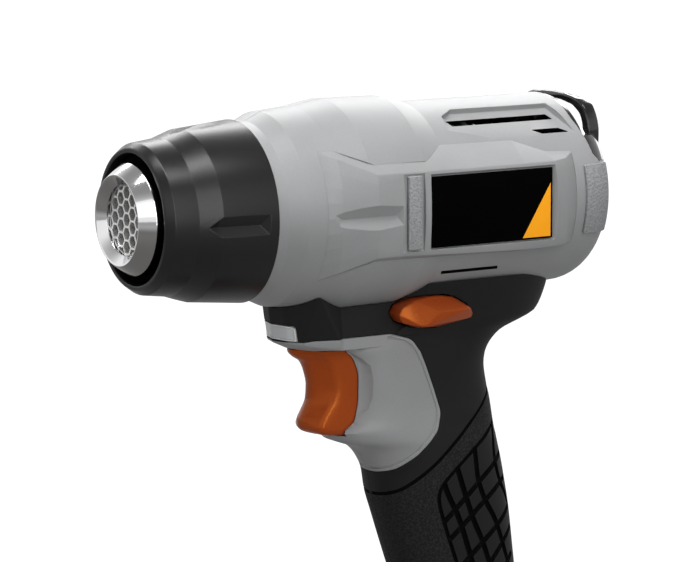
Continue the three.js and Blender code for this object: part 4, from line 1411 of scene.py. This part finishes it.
        def on_barrel(x: float, degrees: float, radius: float) -> Point3:
            """A point at an angle from the top and a distance from the axis."""
            a = math.radians(degrees)
            return x, side.value * radius * math.sin(a), radius * math.cos(a)
        corners = [(-77.0, 28.5), (-83.0, 21.5), (-124.3, 21.9), (-128.8, 51.9), (-114.7, 55.4), (-102.1, 41.9),
                   (-76.0, 40.5)]
        field = Bench.hull([on_barrel(x, a, 30.0) for x, a in corners]
                           + [on_barrel(x, a * 1.04 - 1.5, 40.0) for x, a in corners])
        lean, floor = math.radians(28.5), 33.0
        keep = [(x, side.value * (deep * math.sin(lean) + along * math.cos(lean)),
                 deep * math.cos(lean) - along * math.sin(lean))
                for x in (-140.0, -60.0) for along in (-40.0, 40.0) for deep in (0.0, floor)]
        Bench.combine(Combine.CUT, field, Bench.hull(keep))
        slots = [slot(-123.6, -79.0, 31.7, 3.3, 1.4), slot(-126.2, -110.9, 46.0, 2.7, 3.5),
                 slot(-96.3, -71.4, 134.5, 1.9, 0.6)]
        return [field, *(Bench.second(piece) for piece in slots)]


@dataclass
class Outlet:
    """The collar, the chromed nozzle and the grille in its mouth."""

    collar_radius: float = 33.0
    grille_radius: float = 12.9
    grille_border: float = 0.55
    grille_front: float = 43.6
    grille_rear: float = 41.0
    cell_pitch: float = 4.9
    cell_wall: float = 0.75

    def build(self) -> None:
        """Model the outlet's pieces and dress them."""
        outer = [(0.0, self.collar_radius), (21.5, 31.0), (29.7, 28.3), (38.8, 27.2), (41.6, 25.2)]
        inner = [(41.6, 23.7), (39.5, 23.3), (28.5, 25.7), (20.5, 28.4), (0.0, 29.2), (-5.6, 27.3), (-5.6, 29.4),
                 (0.0, 29.4)]
        radii = [0.5, 0.5, 0.5, 0.8, 0.7, 0.5, 0.5, 2, 2, 0, 0, 0, 0]
        collar = Bench.turned(fillet(outer + inner, radii), 144)
        for out, up, low, high, rise in (((0, 1), (-1, 0), -3.7, 3.7, 1.3), ((1, 0), (0, 1), -4.4, 3.0, 0.0),
                                         ((0, -1), (-1, 0), -3.7, 3.7, 0.0), ((-1, 0), (0, 1), -4.4, 3.0, 0.0)):
            Bench.combine(Combine.CUT, collar, self._groove(out, up, low, high, rise))
        Bench.finish(collar, "collar_ring", "body", "black_plastic", Palette.COLLAR, stands_for=["nozzle_collar"],
                     smooth=12.0)
        profile = [(47.7, 16.25), (42.4, 20.15), (20.0, 20.2), (20.0, 24.6), (18.8, 24.6), (18.8, 19.4), (41.6, 19.4),
                   (45.9, 16.0), (44.2, 13.4), (40.6, 13.4), (40.6, 12.5), (44.9, 12.5), (47.5, 15.6)]
        nozzle = Bench.turned(fillet(profile, [0.25, 0.6, 0, 0.2, 0.2, 0, 0, 0, 0.3, 0.1, 0.1, 0.4, 0.2], steps=5), 144)
        Bench.finish(nozzle, "outlet_tube", "body", "chrome", Palette.CHROME, stands_for=["outlet_nozzle"])
        self._grille()

    def _grille(self) -> None:
        """The grille of six-sided cells in the outlet's mouth."""
        low, high = self.grille_rear, self.grille_front
        plate = Bench.soften(Bench.rod(self.grille_radius, (low, 0, 0), (high, 0, 0), 96), 0.2, 2, 40.0)
        step, reach = self.cell_pitch, self.grille_radius - self.grille_border
        for column in range(-3, 4):
            for row in range(-3, 4):
                y, z = column * step * math.sqrt(3) / 2, (row + (column % 2) / 2) * step
                if math.hypot(y, z) > reach + step * 0.3:
                    continue
                flat = (step - self.cell_wall) / math.sqrt(3)
                corners = [(y + flat * math.cos(k * math.pi / 3), z + flat * math.sin(k * math.pi / 3))
                           for k in range(6)]
                cell = Bench.front_prism(corners, low - 1.0, high + 1.0)
                Bench.combine(Combine.COMMON, cell, Bench.rod(reach, (low - 2, 0, 0), (high + 2, 0, 0), 96))
                Bench.combine(Combine.CUT, plate, cell)
        Bench.finish(plate, "cell_grille", "body", "chrome", Palette.GRILLE, stands_for=["outlet_grille"], smooth=20.0)

    @staticmethod
    def _groove(out: Point2, up: Point2, low: float, high: float, rise: float) -> bpy.types.Object:
        """One long groove of the collar.

        Args:
            out: Which way it lies from the axis, in y and z.
            up: Which way its width runs.
            low: Its lower edge along that way.
            high: Its upper edge.
            rise: How much shallower it is than the groove of the side.

        Returns:
            The tool that cuts it.
        """
        middle = (low + high) / 2

        def at(x: float, radius: float, aside: float) -> Point3:
            """A point of the groove."""
            return x, out[0] * radius + up[0] * aside, out[1] * radius + up[1] * aside
        return Forms.groove([at(6.8, 30.4 + rise, middle), at(23.4, 28.6 + rise * 0.6, middle)], [
            (0, *at(3.5, 32.6, low)), (0, *at(3.5, 32.6, high)), (1, *at(22.0, 30.8, low)), (1, *at(22.0, 30.8, high)),
            (1, *at(26.8, 29.3, middle))])


@dataclass
class RearCap:
    """The dark cap over the motor's rear, with its hanging arch."""

    deck: float = 21.5
    wall: float = 2.5
    arch_front: float = -136.0
    arch_rear: float = -141.0
    slot_circle: float = 19.0
    slot_half: float = 1.1

    @staticmethod
    def plug(gap: float) -> bpy.types.Object:
        """The round plug behind the housing's rear edge, smaller by a gap."""
        front, rear, radius = -129.8 - gap / 2, -150.0, 27.0 - gap
        return Bench.turned([(rear, 0.0), (front, 0.0), (front, radius), (rear, radius)], 96)

    def build(self) -> None:
        """Model the cap and dress it."""
        shell = Bench.combine(Combine.CUT, Forms.barrel(0.0), Forms.barrel(self.wall, steps=64))
        edge = Bench.side_prism([(x - 0.15, z) for x, z in REAR_EDGE], -FAR, FAR)
        Bench.combine(Combine.COMMON, shell, Bench.combine(Combine.JOIN, edge, self.plug(0.2)))
        Bench.combine(Combine.CUT, shell, Bench.slab(self.deck))
        under = self.deck - self.wall
        deck = Bench.combine(Combine.COMMON, Forms.barrel(0.0, steps=64),
                             Bench.block((-3 * FAR, -FAR, under), (-129.6, FAR, self.deck)))
        upright = Bench.combine(Combine.COMMON, Forms.barrel(0.35),
                                Bench.block((-129.4 - self.wall, -FAR, under), (-129.5, FAR, FAR)))
        cap = Bench.combine(Combine.JOIN, shell, deck, upright, self._arch())
        for z in (-15, -9, -3, 3, 9, 15):
            half, low, high = math.sqrt(self.slot_circle ** 2 - z * z), z - self.slot_half, z + self.slot_half
            outline = fillet([(-half, low), (half, low), (half, high), (-half, high)], 1.0)
            Bench.combine(Combine.CUT, cap, Bench.front_prism(outline, -146.0, -140.0))
        Bench.finish(cap, "rear_cap_and_arch", "body", "cap", Palette.CAP, stands_for=["rear_cap"], smooth=24.0)

    def _arch(self) -> bpy.types.Object:
        """The strap that stands on the cap's shoulders.

        Returns:
            The solid, cut to the cap.
        """
        over = [(0, 35.4), (6.9, 35.1), (12.1, 34.5), (15.6, 33.9), (20.0, 32.0), (22.0, 29.2), (23.4, 26.4),
                (24.1, 23.2), (24.1, 20.0), (23.8, 16)]
        under = [(19.6, 16), (19.6, 24.6), (17.8, 28.4), (12.5, 31.2), (5, 32.3), (0, 32.5)]
        half = [*over, *under]
        outline = half + [(-y, z) for y, z in reversed(half[1:-1])]
        rounding = [9.0 if y > 0 and z > 16 else 0.0 for y, z in half]
        rounding += rounding[1:-1][::-1]
        arch = Bench.soften(Bench.front_prism(fillet(outline, rounding, steps=5), self.arch_rear, self.arch_front),
                            0.9, 3, 40.0)
        return Bench.combine(Combine.CUT, arch, Forms.barrel(self.wall, steps=64))


@dataclass
class SideTrim:
    """The textured strip, the label plate and the textured pad of each side."""

    def build(self) -> None:
        """Model the trim of both sides and dress it."""
        for side in Side:
            s = side.value
            strip = Bench.side_prism(fillet([(-55.6, -13.3), (-50.1, -13.3), (-50.1, 13.3), (-55.6, 13.3)], 0.6),
                                     s * 36.6, s * 38.35)
            Bench.soften(strip, 0.35, 2, 40.0)
            Bench.finish(strip, f"panel_strip_{side.word}", "body", "trim", Palette.TRIM,
                         stands_for=[f"side_strip_{side.word}"])
            plate = Bench.side_prism(fillet([(-111.8, -13.3), (-60.5, -13.3), (-60.5, 12.5), (-111.8, 12.5)], 0.4),
                                     s * 36.4, s * 37.2)
            Bench.soften(plate, 0.15, 2, 40.0)
            Bench.finish(plate, f"label_bare_{side.word}", "body", "label", Palette.LABEL,
                         stands_for=[f"label_plate_{side.word}"])
            pad = Bench.combine(Combine.CUT, Forms.barrel(-1.2), Forms.barrel(-0.3))
            outline = fillet([(-127.8, -13.5), (-139.4, -13.5), (-139.4, 11.9), (-127.8, 11.9)], 0.8)
            Bench.combine(Combine.COMMON, pad, Bench.side_prism(outline, s * 15.0, s * FAR))
            Bench.finish(pad, f"rear_grip_pad_{side.word}", "body", "trim", Palette.TRIM,
                         stands_for=[f"rear_pad_{side.word}"])


@dataclass
class Selector:
    """The cross slide whose ends show as leaf-shaped wings."""

    edge: float = 20.2
    crest: float = 23.5

    OUTLINE = ((-56.9, -39.8), (-58.4, -37.2), (-64.0, -34.9), (-69.5, -34.0), (-75.2, -34.0), (-80.0, -34.9),
               (-86.0, -38.2), (-88.8, -41.6), (-88.0, -43.2), (-77.4, -44.5), (-73.5, -45.4), (-64.8, -45.0),
               (-58.6, -42.8))
    MIDDLE = (-72.5, -39.8)
    CREST = ((-66.3, -44.4), (-72.9, -39.3), (-85.7, -39.0))

    @classmethod
    def tunnel(cls, gap: float) -> bpy.types.Object:
        """The passage that the slide runs in."""
        return Bench.side_prism(grown(cls.OUTLINE, cls.MIDDLE, gap), -FAR, FAR)

    def build(self) -> None:
        """Model the slide and dress it."""
        bar = Bench.block((-79, -14, -42), (-67, 14, -37))
        for side in Side:
            s = side.value
            base = [(x, s * y, z) for x, z in self.OUTLINE for y in (13.0, self.edge)]
            leaf = Bench.hull(base + [(x, s * self.crest, z) for x, z in self.CREST])
            Bench.combine(Combine.JOIN, bar, Bench.soften(leaf, 0.45, 3, 10.0))
        Bench.finish(bar, "cross_slide", "selector", "orange", Palette.ORANGE, stands_for=["selector"], smooth=20.0)


@dataclass
class Trigger:
    """The finger trigger with its plunger."""

    half: float = 10.0
    rear: float = -50.0
    top: float = -52.0
    bottom: float = -84.0
    levels: int = 48
    set_back: float = 0.7
    narrowing: float = 0.1

    # Height, front and crest
    PROFILE = ((-52.0, -21.8, -28.9), (-53.2, -22.0, -30.2), (-55.1, -23.8, -32.2), (-57.0, -26.7, -33.6),
               (-61.3, -28.7, -35.2), (-66.1, -29.7, -35.6), (-70.9, -29.4, -34.8), (-75.5, -27.5, -32.2),
               (-78.8, -25.9, -30.4), (-80.8, -25.9, -29.7), (-82.7, -27.6, -30.6), (-84.0, -31.6, -34.0))

    def build(self) -> None:
        """Model the trigger and dress it."""
        sections = []
        for i in range(self.levels + 1):
            z = self.top + (self.bottom - self.top) * i / self.levels
            front, crest = between(self.PROFILE, z)
            close = max(0.0, 1 - (z - self.bottom) / 2.4, 1 - (self.top - z) / 0.8)
            wide = 1.0 - self.narrowing * close ** 2
            front -= self.set_back
            cheek = front - 0.8
            half = [(front, 0.0), (front - 0.2, 1.4), (cheek, 2.8)]
            half += [(cheek + (crest - cheek) * t ** 1.1, 2.8 + 4.7 * t) for t in (0.2, 0.4, 0.6, 0.8, 0.93)]
            half += [(crest, 7.5), (crest - 0.5, 8.2), (crest - 1.3, 8.75), (crest - 2.5, 9.15),
                     (min(crest - 4.0, -40.0), 9.85), (self.rear + 1.0, self.half), (self.rear, self.half)]
            half = [(x, y * wide) for x, y in half]
            sections.append([(x, y, z) for x, y in half] + [(x, -y, z) for x, y in reversed(half[1:])])
        blade = Bench.loft(sections)
        Bench.combine(Combine.JOIN, blade, Bench.rod(3.0, (-49, 0, -68.1), (-68, 0, -68.1)))
        Bench.finish(blade, "finger_trigger", "trigger", "orange", Palette.ORANGE, stands_for=["trigger"], smooth=40.0)


@dataclass
class Handle:
    """The black overmould in two halves, and the light window in its nose."""

    thickness: float = 1.8
    hem: float = -149.7
    sunk: float = 0.15

    GROOVE = ((-57.1, -108.5), (-57.3, -108.4), (-57.7, -108.2), (-58.5, -107.9), (-62.1, -106.6), (-67.5, -102.6),
              (-74.5, -97.1), (-82.0, -90.3), (-90.1, -83.3), (-96.5, -77.6), (-101.0, -73.5), (-104.0, -70.0))
    PANEL = ((-104.6, -84.6), (-97.2, -89.3), (-92.4, -92.2), (-87.9, -95.7), (-84.0, -99.0), (-80.7, -101.9),
             (-78.2, -104.2), (-76.5, -106.9), (-76.1, -109.9), (-77.0, -113.7), (-78.7, -118.9), (-80.5, -124.1),
             (-82.4, -129.4), (-84.5, -134.9), (-89.4, -148.0))
    LATTICE = (
        ((-78.4, -104.6), (-79.7, -108.2), (-81.8, -112.2), (-83.7, -115.4), (-85.3, -119.1), (-86.7, -122.8),
         (-88.2, -127.0), (-89.8, -131.6), (-91.2, -136.0), (-95.4, -148.0)),
        ((-83.6, -98.6), (-85.7, -104.8), (-87.6, -110.0), (-89.5, -114.9), (-91.0, -119.0), (-93.4, -123.9),
         (-95.6, -128.1), (-97.3, -132.6), (-98.8, -136.6), (-102.6, -148.0)),
        ((-91.7, -92.2), (-92.4, -98.6), (-92.9, -104.0), (-94.7, -108.5), (-96.7, -113.1), (-99.8, -117.4),
         (-102.5, -122.0), (-105.3, -129.0), (-107.6, -135.0), (-111.0, -145.0)),
        ((-103.6, -86.0), (-102.4, -91.8), (-102.1, -97.7), (-103.3, -102.6), (-105.2, -107.4), (-108.6, -112.0),
         (-111.2, -118.0)),
        ((-79.0, -118.9), (-81.5, -116.4), (-84.0, -113.9), (-87.1, -111.2), (-90.3, -108.4), (-93.2, -105.6),
         (-96.4, -103.2), (-100.2, -100.8), (-103.8, -98.2), (-107.4, -96.4)),
        ((-81.6, -125.6), (-83.9, -123.6), (-87.0, -120.7), (-90.5, -117.7), (-92.6, -115.6), (-95.2, -113.6),
         (-97.4, -112.2), (-100.8, -109.8), (-104.6, -107.4), (-108.4, -106.0)),
        ((-85.6, -137.6), (-90.6, -132.6), (-93.5, -130.2), (-95.5, -128.3), (-98.4, -126.2), (-101.4, -123.8),
         (-103.9, -122.1), (-107.2, -119.6), (-110.8, -116.6)),
        ((-88.8, -147.0), (-93.6, -142.2), (-98.8, -137.0), (-103.0, -132.4), (-107.6, -128.0), (-111.6, -124.6)),
        ((-96.4, -149.0), (-101.6, -144.4), (-106.4, -139.6), (-111.4, -134.6)))

    def build(self) -> None:
        """Model the overmould and the window and dress them."""
        skin = Forms.hand()
        lens_stock = Bench.twin(skin)
        inner = Forms.hand(self.thickness)
        Bench.combine(Combine.CUT, skin, inner, Forms.barrel(-0.3, 2.0), Forms.window(0.25), Selector.tunnel(0.7),
                      Forms.light_opening(0.6, 0.35), Forms.trigger_opening(), Forms.foot(-0.3),
                      Bench.slab(-3 * FAR, self.hem), *Fasteners.bores(0.6))
        for side in Side:
            half = Bench.halve(skin, side)
            for line, radius in ((self.GROOVE, 0.7), (self.PANEL, 0.8), *((one, 1.15) for one in self.LATTICE)):
                # The grooves' faces take the second finish, near-black painted shade.
                Bench.combine(Combine.CUT, half, Bench.second(Forms.bar(line, radius, side)))
            rubber = replace(Palette.GRIP, border=self.GROOVE, panel=self.PANEL)
            Bench.finish(half, f"overmould_{side.word}", "body", "grip", rubber, Palette.GROOVE_SHADE,
                         stands_for=[f"grip_cover_{side.word}"], smooth=24.0)
        bpy.data.objects.remove(skin, do_unlink=True)
        self._light(lens_stock)

    def _light(self, stock: bpy.types.Object) -> None:
        """The light window: a pale rim round a frosted pane.

        Args:
            stock: The block that both are cut from, which is used up.
        """
        Bench.combine(Combine.CUT, stock, Forms.hand(self.thickness))
        pane = Bench.twin(stock)
        rim = Bench.combine(Combine.COMMON, stock, Forms.light_opening(0.0))
        Bench.combine(Combine.CUT, rim, Forms.light_opening(-0.5))
        Bench.finish(rim, "light_window_rim", "body", "lens", Palette.RIM)
        Bench.combine(Combine.COMMON, pane, Forms.light_opening(-0.55))
        Bench.shift(pane, (-self.sunk, 0, 0))
        Bench.finish(pane, "light_window_pane", "body", "lens", Palette.LENS, stands_for=["light_lens"])


@dataclass
class Battery:
    """The slide-on battery's cases and its latch."""

    front: float = -36.0
    rear: float = -140.0
    half: float = 36.5
    base: float = -224.0
    split: float = -197.0
    split_gap: float = 0.15
    top: float = -178.4
    wall: float = 2.5
    chamfer: float = 3.0
    flutes: int = 5
    flute_pitch: float = 3.4
    flute_radius: float = 1.1

    def _plan(self, inset: float, z: float) -> List[Point3]:
        """The case's outline at one height.

        Args:
            inset: How far it lies inside the outer face.
            z: The height.

        Returns:
            The corners on both sides.
        """
        cut, front, rear, half = self.chamfer, self.front - inset, self.rear + inset, self.half - inset
        corners = [(front, half - cut), (front - cut, half), (rear + cut, half), (rear, half - cut)]
        return [(x, side * y, z) for x, y in corners for side in (1, -1)]

    def build(self) -> None:
        """Model the cases and the latch and dress them."""
        self._lower()
        self._upper()
        self._latch()

    def _lower(self) -> None:
        """The lower case, with grip flutes on its sides."""
        top, wall = self.split - self.split_gap, self.wall
        case = Bench.soften(Bench.hull(self._plan(1.5, self.base) + self._plan(0, self.base + 3)
                                       + self._plan(0, top + 3)), 1.2, 3, 12.0)
        Bench.combine(Combine.COMMON, case, Bench.slab(self.base, top))
        Bench.combine(Combine.CUT, case, Bench.hull(self._plan(wall, self.base + wall) + self._plan(wall, top + 5)))
        for side in Side:
            for k in range(self.flutes):
                y, z = side.value * (self.half + 0.35), self.base + 7.0 + self.flute_pitch * k
                Bench.combine(Combine.CUT, case, Bench.rod(
                    self.flute_radius, (self.rear + 16, y, z), (self.front - 16, y, z), 16))
        Bench.finish(case, "battery_tray", "battery", "black_plastic", Palette.CASE,
                     stands_for=["battery_case_lower"])

    def _upper(self) -> None:
        """The upper case with its riser and its rail."""
        low, top, wall = self.split + self.split_gap, self.top, self.wall
        case = Bench.soften(Bench.hull(self._plan(0, low - 4) + self._plan(0, top - 2) + self._plan(1.5, top)),
                            0.9, 3, 12.0)
        Bench.combine(Combine.COMMON, case, Bench.slab(low))
        riser = Bench.soften(Bench.hull([(x, s * y, z) for s in (1, -1) for x, y, z in (
            (-37.5, 30, top - 3), (-53.4, 30, top - 3), (-37.5, 30, top), (-53.4, 30, top), (-40, 27, -166),
            (-53.4, 27, -166))]), 1.0, 3, 12.0)
        rail = [Bench.block((-126.5, -15, top - 1), (-59, 15, -173.8)),
                Bench.block((-126.5, -19, -173.8), (-59, 19, -170.8))]
        Bench.combine(Combine.JOIN, case, riser, *rail)
        Bench.combine(Combine.CUT, case, Bench.hull(self._plan(wall, low - 3) + self._plan(wall, top - wall)))
        Bench.combine(Combine.JOIN, case, Bench.block((-53, -15, -184), (-40, 15, -180)))
        Bench.combine(Combine.CUT, case, Bench.block((-51.4, -13.3, -182), (-41.4, 13.3, -160)),
                      Bench.block((-54, -6.4, -177.6), (-50, 6.4, -168.6)),
                      *(Bench.block((-127.5, y - 0.9, -177.6), (-118, y + 0.9, -169)) for y in (-10, -4, 4, 10)))
        Bench.finish(case, "battery_top", "battery", "black_plastic", Palette.CASE,
                     stands_for=["battery_case_upper"])

    @staticmethod
    def _latch() -> None:
        """The latch button with its thumb ridges and its tooth."""
        button = Bench.soften(Bench.block((-51.1, -13, -176), (-41.7, 13, -165.6)), 0.7, 3, 30.0)
        ridges = [Bench.rod(0.9, (x, -10.5, -165.4), (x, 10.5, -165.4), 20) for x in (-48.6, -46.4, -44.2)]
        Bench.combine(Combine.JOIN, button, *ridges, Bench.block((-56.4, -6, -172), (-50, 6, -169)))
        Bench.combine(Combine.CUT, button, Bench.rod(4.2, (-46.4, 0, -178), (-46.4, 0, -172)))
        Bench.finish(button, "latch_button", "latch", "orange", Palette.ORANGE, stands_for=["battery_latch"])


@dataclass
class Fasteners:
    """The housing screws, put in from the right, each at its place in x and z."""

    head: float = 2.9
    shank: float = 1.5
    tip: float = 11.0
    star: float = 1.35
    hollow: float = 0.62

    PLACES = ((-17, 27), (-17, -27), (-113, 25), (-113, -25), (-94, -62), (-67, -103.5), (-88, -140), (-63, -161),
              (-115, -163))

    @classmethod
    def bores(cls, gap: float) -> List[bpy.types.Object]:
        """The bores for the shanks and the heads, wider than they are by a gap.

        Args:
            gap: How much wider they are all round.

        Returns:
            The tools that cut them.
        """
        cuts = []
        for x, z in cls.PLACES:
            cuts.append(Bench.rod(cls.shank + gap, (x, -13.0, z), (x, cls.tip + gap, z), 24))
            cuts.append(Bench.rod(cls.head + gap, (x, -FAR, z), (x, -12.0, z), 32))
        return cuts

    def build(self) -> None:
        """Model one screw and set a copy in each bore."""
        head = Bench.soften(Bench.rod(self.head, (0, -14.4, 0), (0, -12.3, 0), 48), 0.4, 3, 40.0)
        Bench.combine(Combine.JOIN, head, Bench.rod(self.shank, (0, -12.6, 0), (0, self.tip, 0), 24))
        reach = [self.star * (1.0 if k % 2 else self.hollow) for k in range(12)]
        points = [(r * math.cos(k * math.pi / 6), -15.0, r * math.sin(k * math.pi / 6)) for k, r in enumerate(reach)]
        Bench.combine(Combine.CUT, head, Bench.prism(points, (0, 1.9, 0)))
        for index, (x, z) in enumerate(self.PLACES, 1):
            screw = Bench.shift(Bench.twin(head), (x, 0, z))
            Bench.finish(screw, f"star_screw_{index}", "body", "steel", Palette.STEEL,
                         stands_for=[f"housing_screw_{index}"])
        bpy.data.objects.remove(head, do_unlink=True)


@dataclass
class Innards:
    """The frame's own nodes that keep their shape and get a finish, and the springs, which get steel copies in their
    place.
    """

    MERGE = 1e-6

    FINISHES = {
        "heater_sleeve": Palette.MICA, "heater_former": Palette.CERAMIC, "heating_coil": Palette.WIRE,
        "front_insulator": Palette.CERAMIC, "heater_support_ring": Palette.CERAMIC, "thermal_cutout": Palette.STEEL,
        # The motor's can gets the black finish as painted shade, so that it reads dark through the vents.
        "fan_duct": Palette.INNER, "fan": Palette.INNER, "motor_shaft": Palette.STEEL, "motor": Palette.INNER,
        "motor_mount": Palette.INNER, "intake_screen": Palette.STEEL, "light_board": Palette.BOARD,
        "trigger_switch": Palette.INNER, "selector_switch": Palette.INNER, "control_board": Palette.BOARD,
        "heat_sink": Palette.STEEL, "terminal_block": Palette.INNER, "lead_red": Palette.RED,
        "lead_black": Palette.BLACK, "cell_board": Palette.BOARD,
        **{f"battery_cell_{number}": Palette.CELL for number in range(1, 6)}}

    # Each spring's node, its joint, the body that it stands on, the way it lies and how far it is pressed, in metres
    SPRINGS = (("trigger_spring", "trigger_slide", "body", (1, 0, 0), 0.006),
               ("latch_spring", "latch_press", "battery", (0, 0, 1), 0.0035))

    def build(self, nodes: Dict[str, bpy.types.Object]) -> None:
        """Give each kept node its finish and replace the springs.

        Args:
            nodes: The frame's nodes by name.
        """
        for name, finish in self.FINISHES.items():
            node = nodes[name]
            material = finish.material()
            if not node.material_slots:
                node.data.materials.append(material)
            for slot in node.material_slots:
                slot.material = material
            log.info("%s: kept, %s", name, finish.name)
        for name, joint, body, along, travel in self.SPRINGS:
            self._spring(nodes[name], body)

    def _spring(self, node: bpy.types.Object, body: str) -> None:
        """Put a steel copy in a spring's place, moving with the body that it stands on.

        Args:
            node: The spring's node.
            body: The body that it stands on.
        """
        sleeve = bpy.data.objects.new(f"{node.name}_sleeve", node.data.copy())
        bpy.context.scene.collection.objects.link(sleeve)
        sleeve.data.materials.clear()
        sleeve.data.materials.append(Palette.STEEL.material())
        for face in sleeve.data.polygons:
            face.material_index = 0
        Bench.edit(sleeve)
        bpy.ops.mesh.remove_doubles(threshold=self.MERGE)
        bpy.ops.object.mode_set(mode="OBJECT")
        bpy.ops.object.shade_smooth_by_angle(angle=math.radians(Bench.SMOOTH))
        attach(sleeve, body)
        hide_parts(node.name)
        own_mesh(sleeve)


@dataclass
class Studio:
    """The camera, the floor, the world and the lamps.

    Attributes:
        eye: The camera's place, in millimetres round the barrel.
        azimuth: The way that it looks from, in degrees.
        elevation: How high it looks from, in degrees.
        lens: Its focal length.
        floor_size: The floor's width, in metres.
        floor_glow: The floor's own light where it is seen.
        floor_grey: The floor's grey where it is lit.
        sky: The sky's light on the tool.
        ceiling: How much darker the sky gets overhead where it is seen.
    """

    eye: Point3 = (833.46, 1470.52, 240.83)
    azimuth: float = 149.11
    elevation: float = 8.95
    lens: float = 248.93
    floor_size: float = 60.0
    floor_glow: float = 1.1
    floor_grey: float = 0.24
    sky: float = 0.17
    ceiling: float = 0.7

    WHITE = (1.0, 1.0, 1.0)
    # Each lamp's name, place, aim, width, height and power, in metres and watts
    LAMPS = (("overhead", (0.2, 0.2, 1.5), (0.0, 0.0, 0.2), 1.3, 0.32, 15.5),
             ("top_behind", (-0.55, -0.95, 1.0), (0.0, 0.0, 0.24), 1.5, 0.36, 13.0),
             ("front_left", (1.1, 1.2, 0.9), (0.0, 0.0, 0.18), 1.2, 0.9, 1.6),
             ("left_strip", (0.12, 1.5, 0.7), (0.0, 0.0, 0.2), 0.26, 1.4, 7.6),
             ("right_back", (-1.2, -1.0, 0.5), (0.0, 0.0, 0.2), 0.9, 0.7, 4.0))

    def build(self) -> None:
        """Set up everything that isn't the tool."""
        self._camera()
        self._floor()
        self._world()
        for lamp in self.LAMPS:
            self._lamp(*lamp)

    def _camera(self) -> None:
        """The photograph's view."""
        data = bpy.data.cameras.new("view")
        data.lens = self.lens
        data.clip_start = 0.05
        camera = bpy.data.objects.new("view", data)
        bpy.context.scene.collection.objects.link(camera)
        a, e = math.radians(self.azimuth), math.radians(self.elevation)
        back = Vector((math.sin(a) * math.cos(e), -math.cos(a) * math.cos(e), math.sin(e)))
        right = Vector((0, 0, 1)).cross(back).normalized()
        turn = Matrix((right, back.cross(right), back)).transposed().to_4x4()
        camera.matrix_world = Matrix.Translation(SET_DOWN @ Vector(self.eye)) @ turn
        bpy.context.scene.camera = camera

    def _floor(self) -> None:
        """A wide pale floor that keeps the tool's shadow."""
        Bench.pick()
        bpy.ops.mesh.primitive_plane_add(size=self.floor_size, location=(0, 0, -0.0002))
        floor = bpy.context.object
        floor.name = "studio_floor"
        material = bpy.data.materials.new("pale_floor")
        material.use_nodes = True
        tree = Tree(material.node_tree)
        place = tree.node("ShaderNodeTexCoord", {}, {}, "Object")
        away = tree.node("ShaderNodeVectorMath", {"operation": "LENGTH"}, {0: place}, "Value")
        lit = tree.node("ShaderNodeBsdfDiffuse", {}, {"Color": (self.floor_grey,) * 3, "Roughness": 0.9})
        tree.show(tree.seen(0.3) * (0.6 + 0.4 * away.step(0.2, 0.5)), lit,
                  tree.node("ShaderNodeEmission", {}, {"Color": self.WHITE, "Strength": self.floor_glow}))
        floor.data.materials.append(material)

    def _world(self) -> None:
        """A soft even sky, white near the horizon where it is seen, with a darker ceiling."""
        world = bpy.data.worlds.new("soft_sky")
        bpy.context.scene.world = world
        world.use_nodes = True
        tree = Tree(world.node_tree)
        way = tree.node("ShaderNodeTexCoord", {}, {}, "Generated")
        height = tree.node("ShaderNodeSeparateXYZ", {}, {0: way}, "Z")
        tree.show(tree.seen(1.0), tree.node("ShaderNodeBackground", {}, {"Color": self.WHITE, "Strength": self.sky}),
                  tree.node("ShaderNodeBackground", {}, {
                      "Color": self.WHITE, "Strength": 1.0 - self.ceiling * height.step(0.4, 0.8)}))

    @staticmethod
    def _lamp(name: str, place: Point3, aim: Point3, width: float, height: float, power: float) -> None:
        """Add a soft rectangular lamp.

        Args:
            name: Its name.
            place: Where it stands, in metres.
            aim: What it points at.
            width: Its width in metres.
            height: Its height in metres.
            power: Its power in watts.
        """
        data = bpy.data.lights.new(name, "AREA")
        data.shape = "RECTANGLE"
        data.size, data.size_y = width, height
        data.energy = power
        lamp = bpy.data.objects.new(name, data)
        bpy.context.scene.collection.objects.link(lamp)
        lamp.location = place
        lamp.rotation_euler = (Vector(place) - Vector(aim)).to_track_quat("Z", "Y").to_euler()


def main() -> None:
    """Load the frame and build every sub-assembly in order."""
    logging.basicConfig(level=logging.INFO, format="%(message)s")
    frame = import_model()
    bpy.context.scene.view_settings.view_transform = "Standard"
    for assembly in (Studio, Outlet, Housing, RearCap, SideTrim, Handle, Trigger, Selector, Battery, Fasteners):
        assembly().build()
    Innards().build(frame["nodes"])


if __name__ == "__main__":
    main()
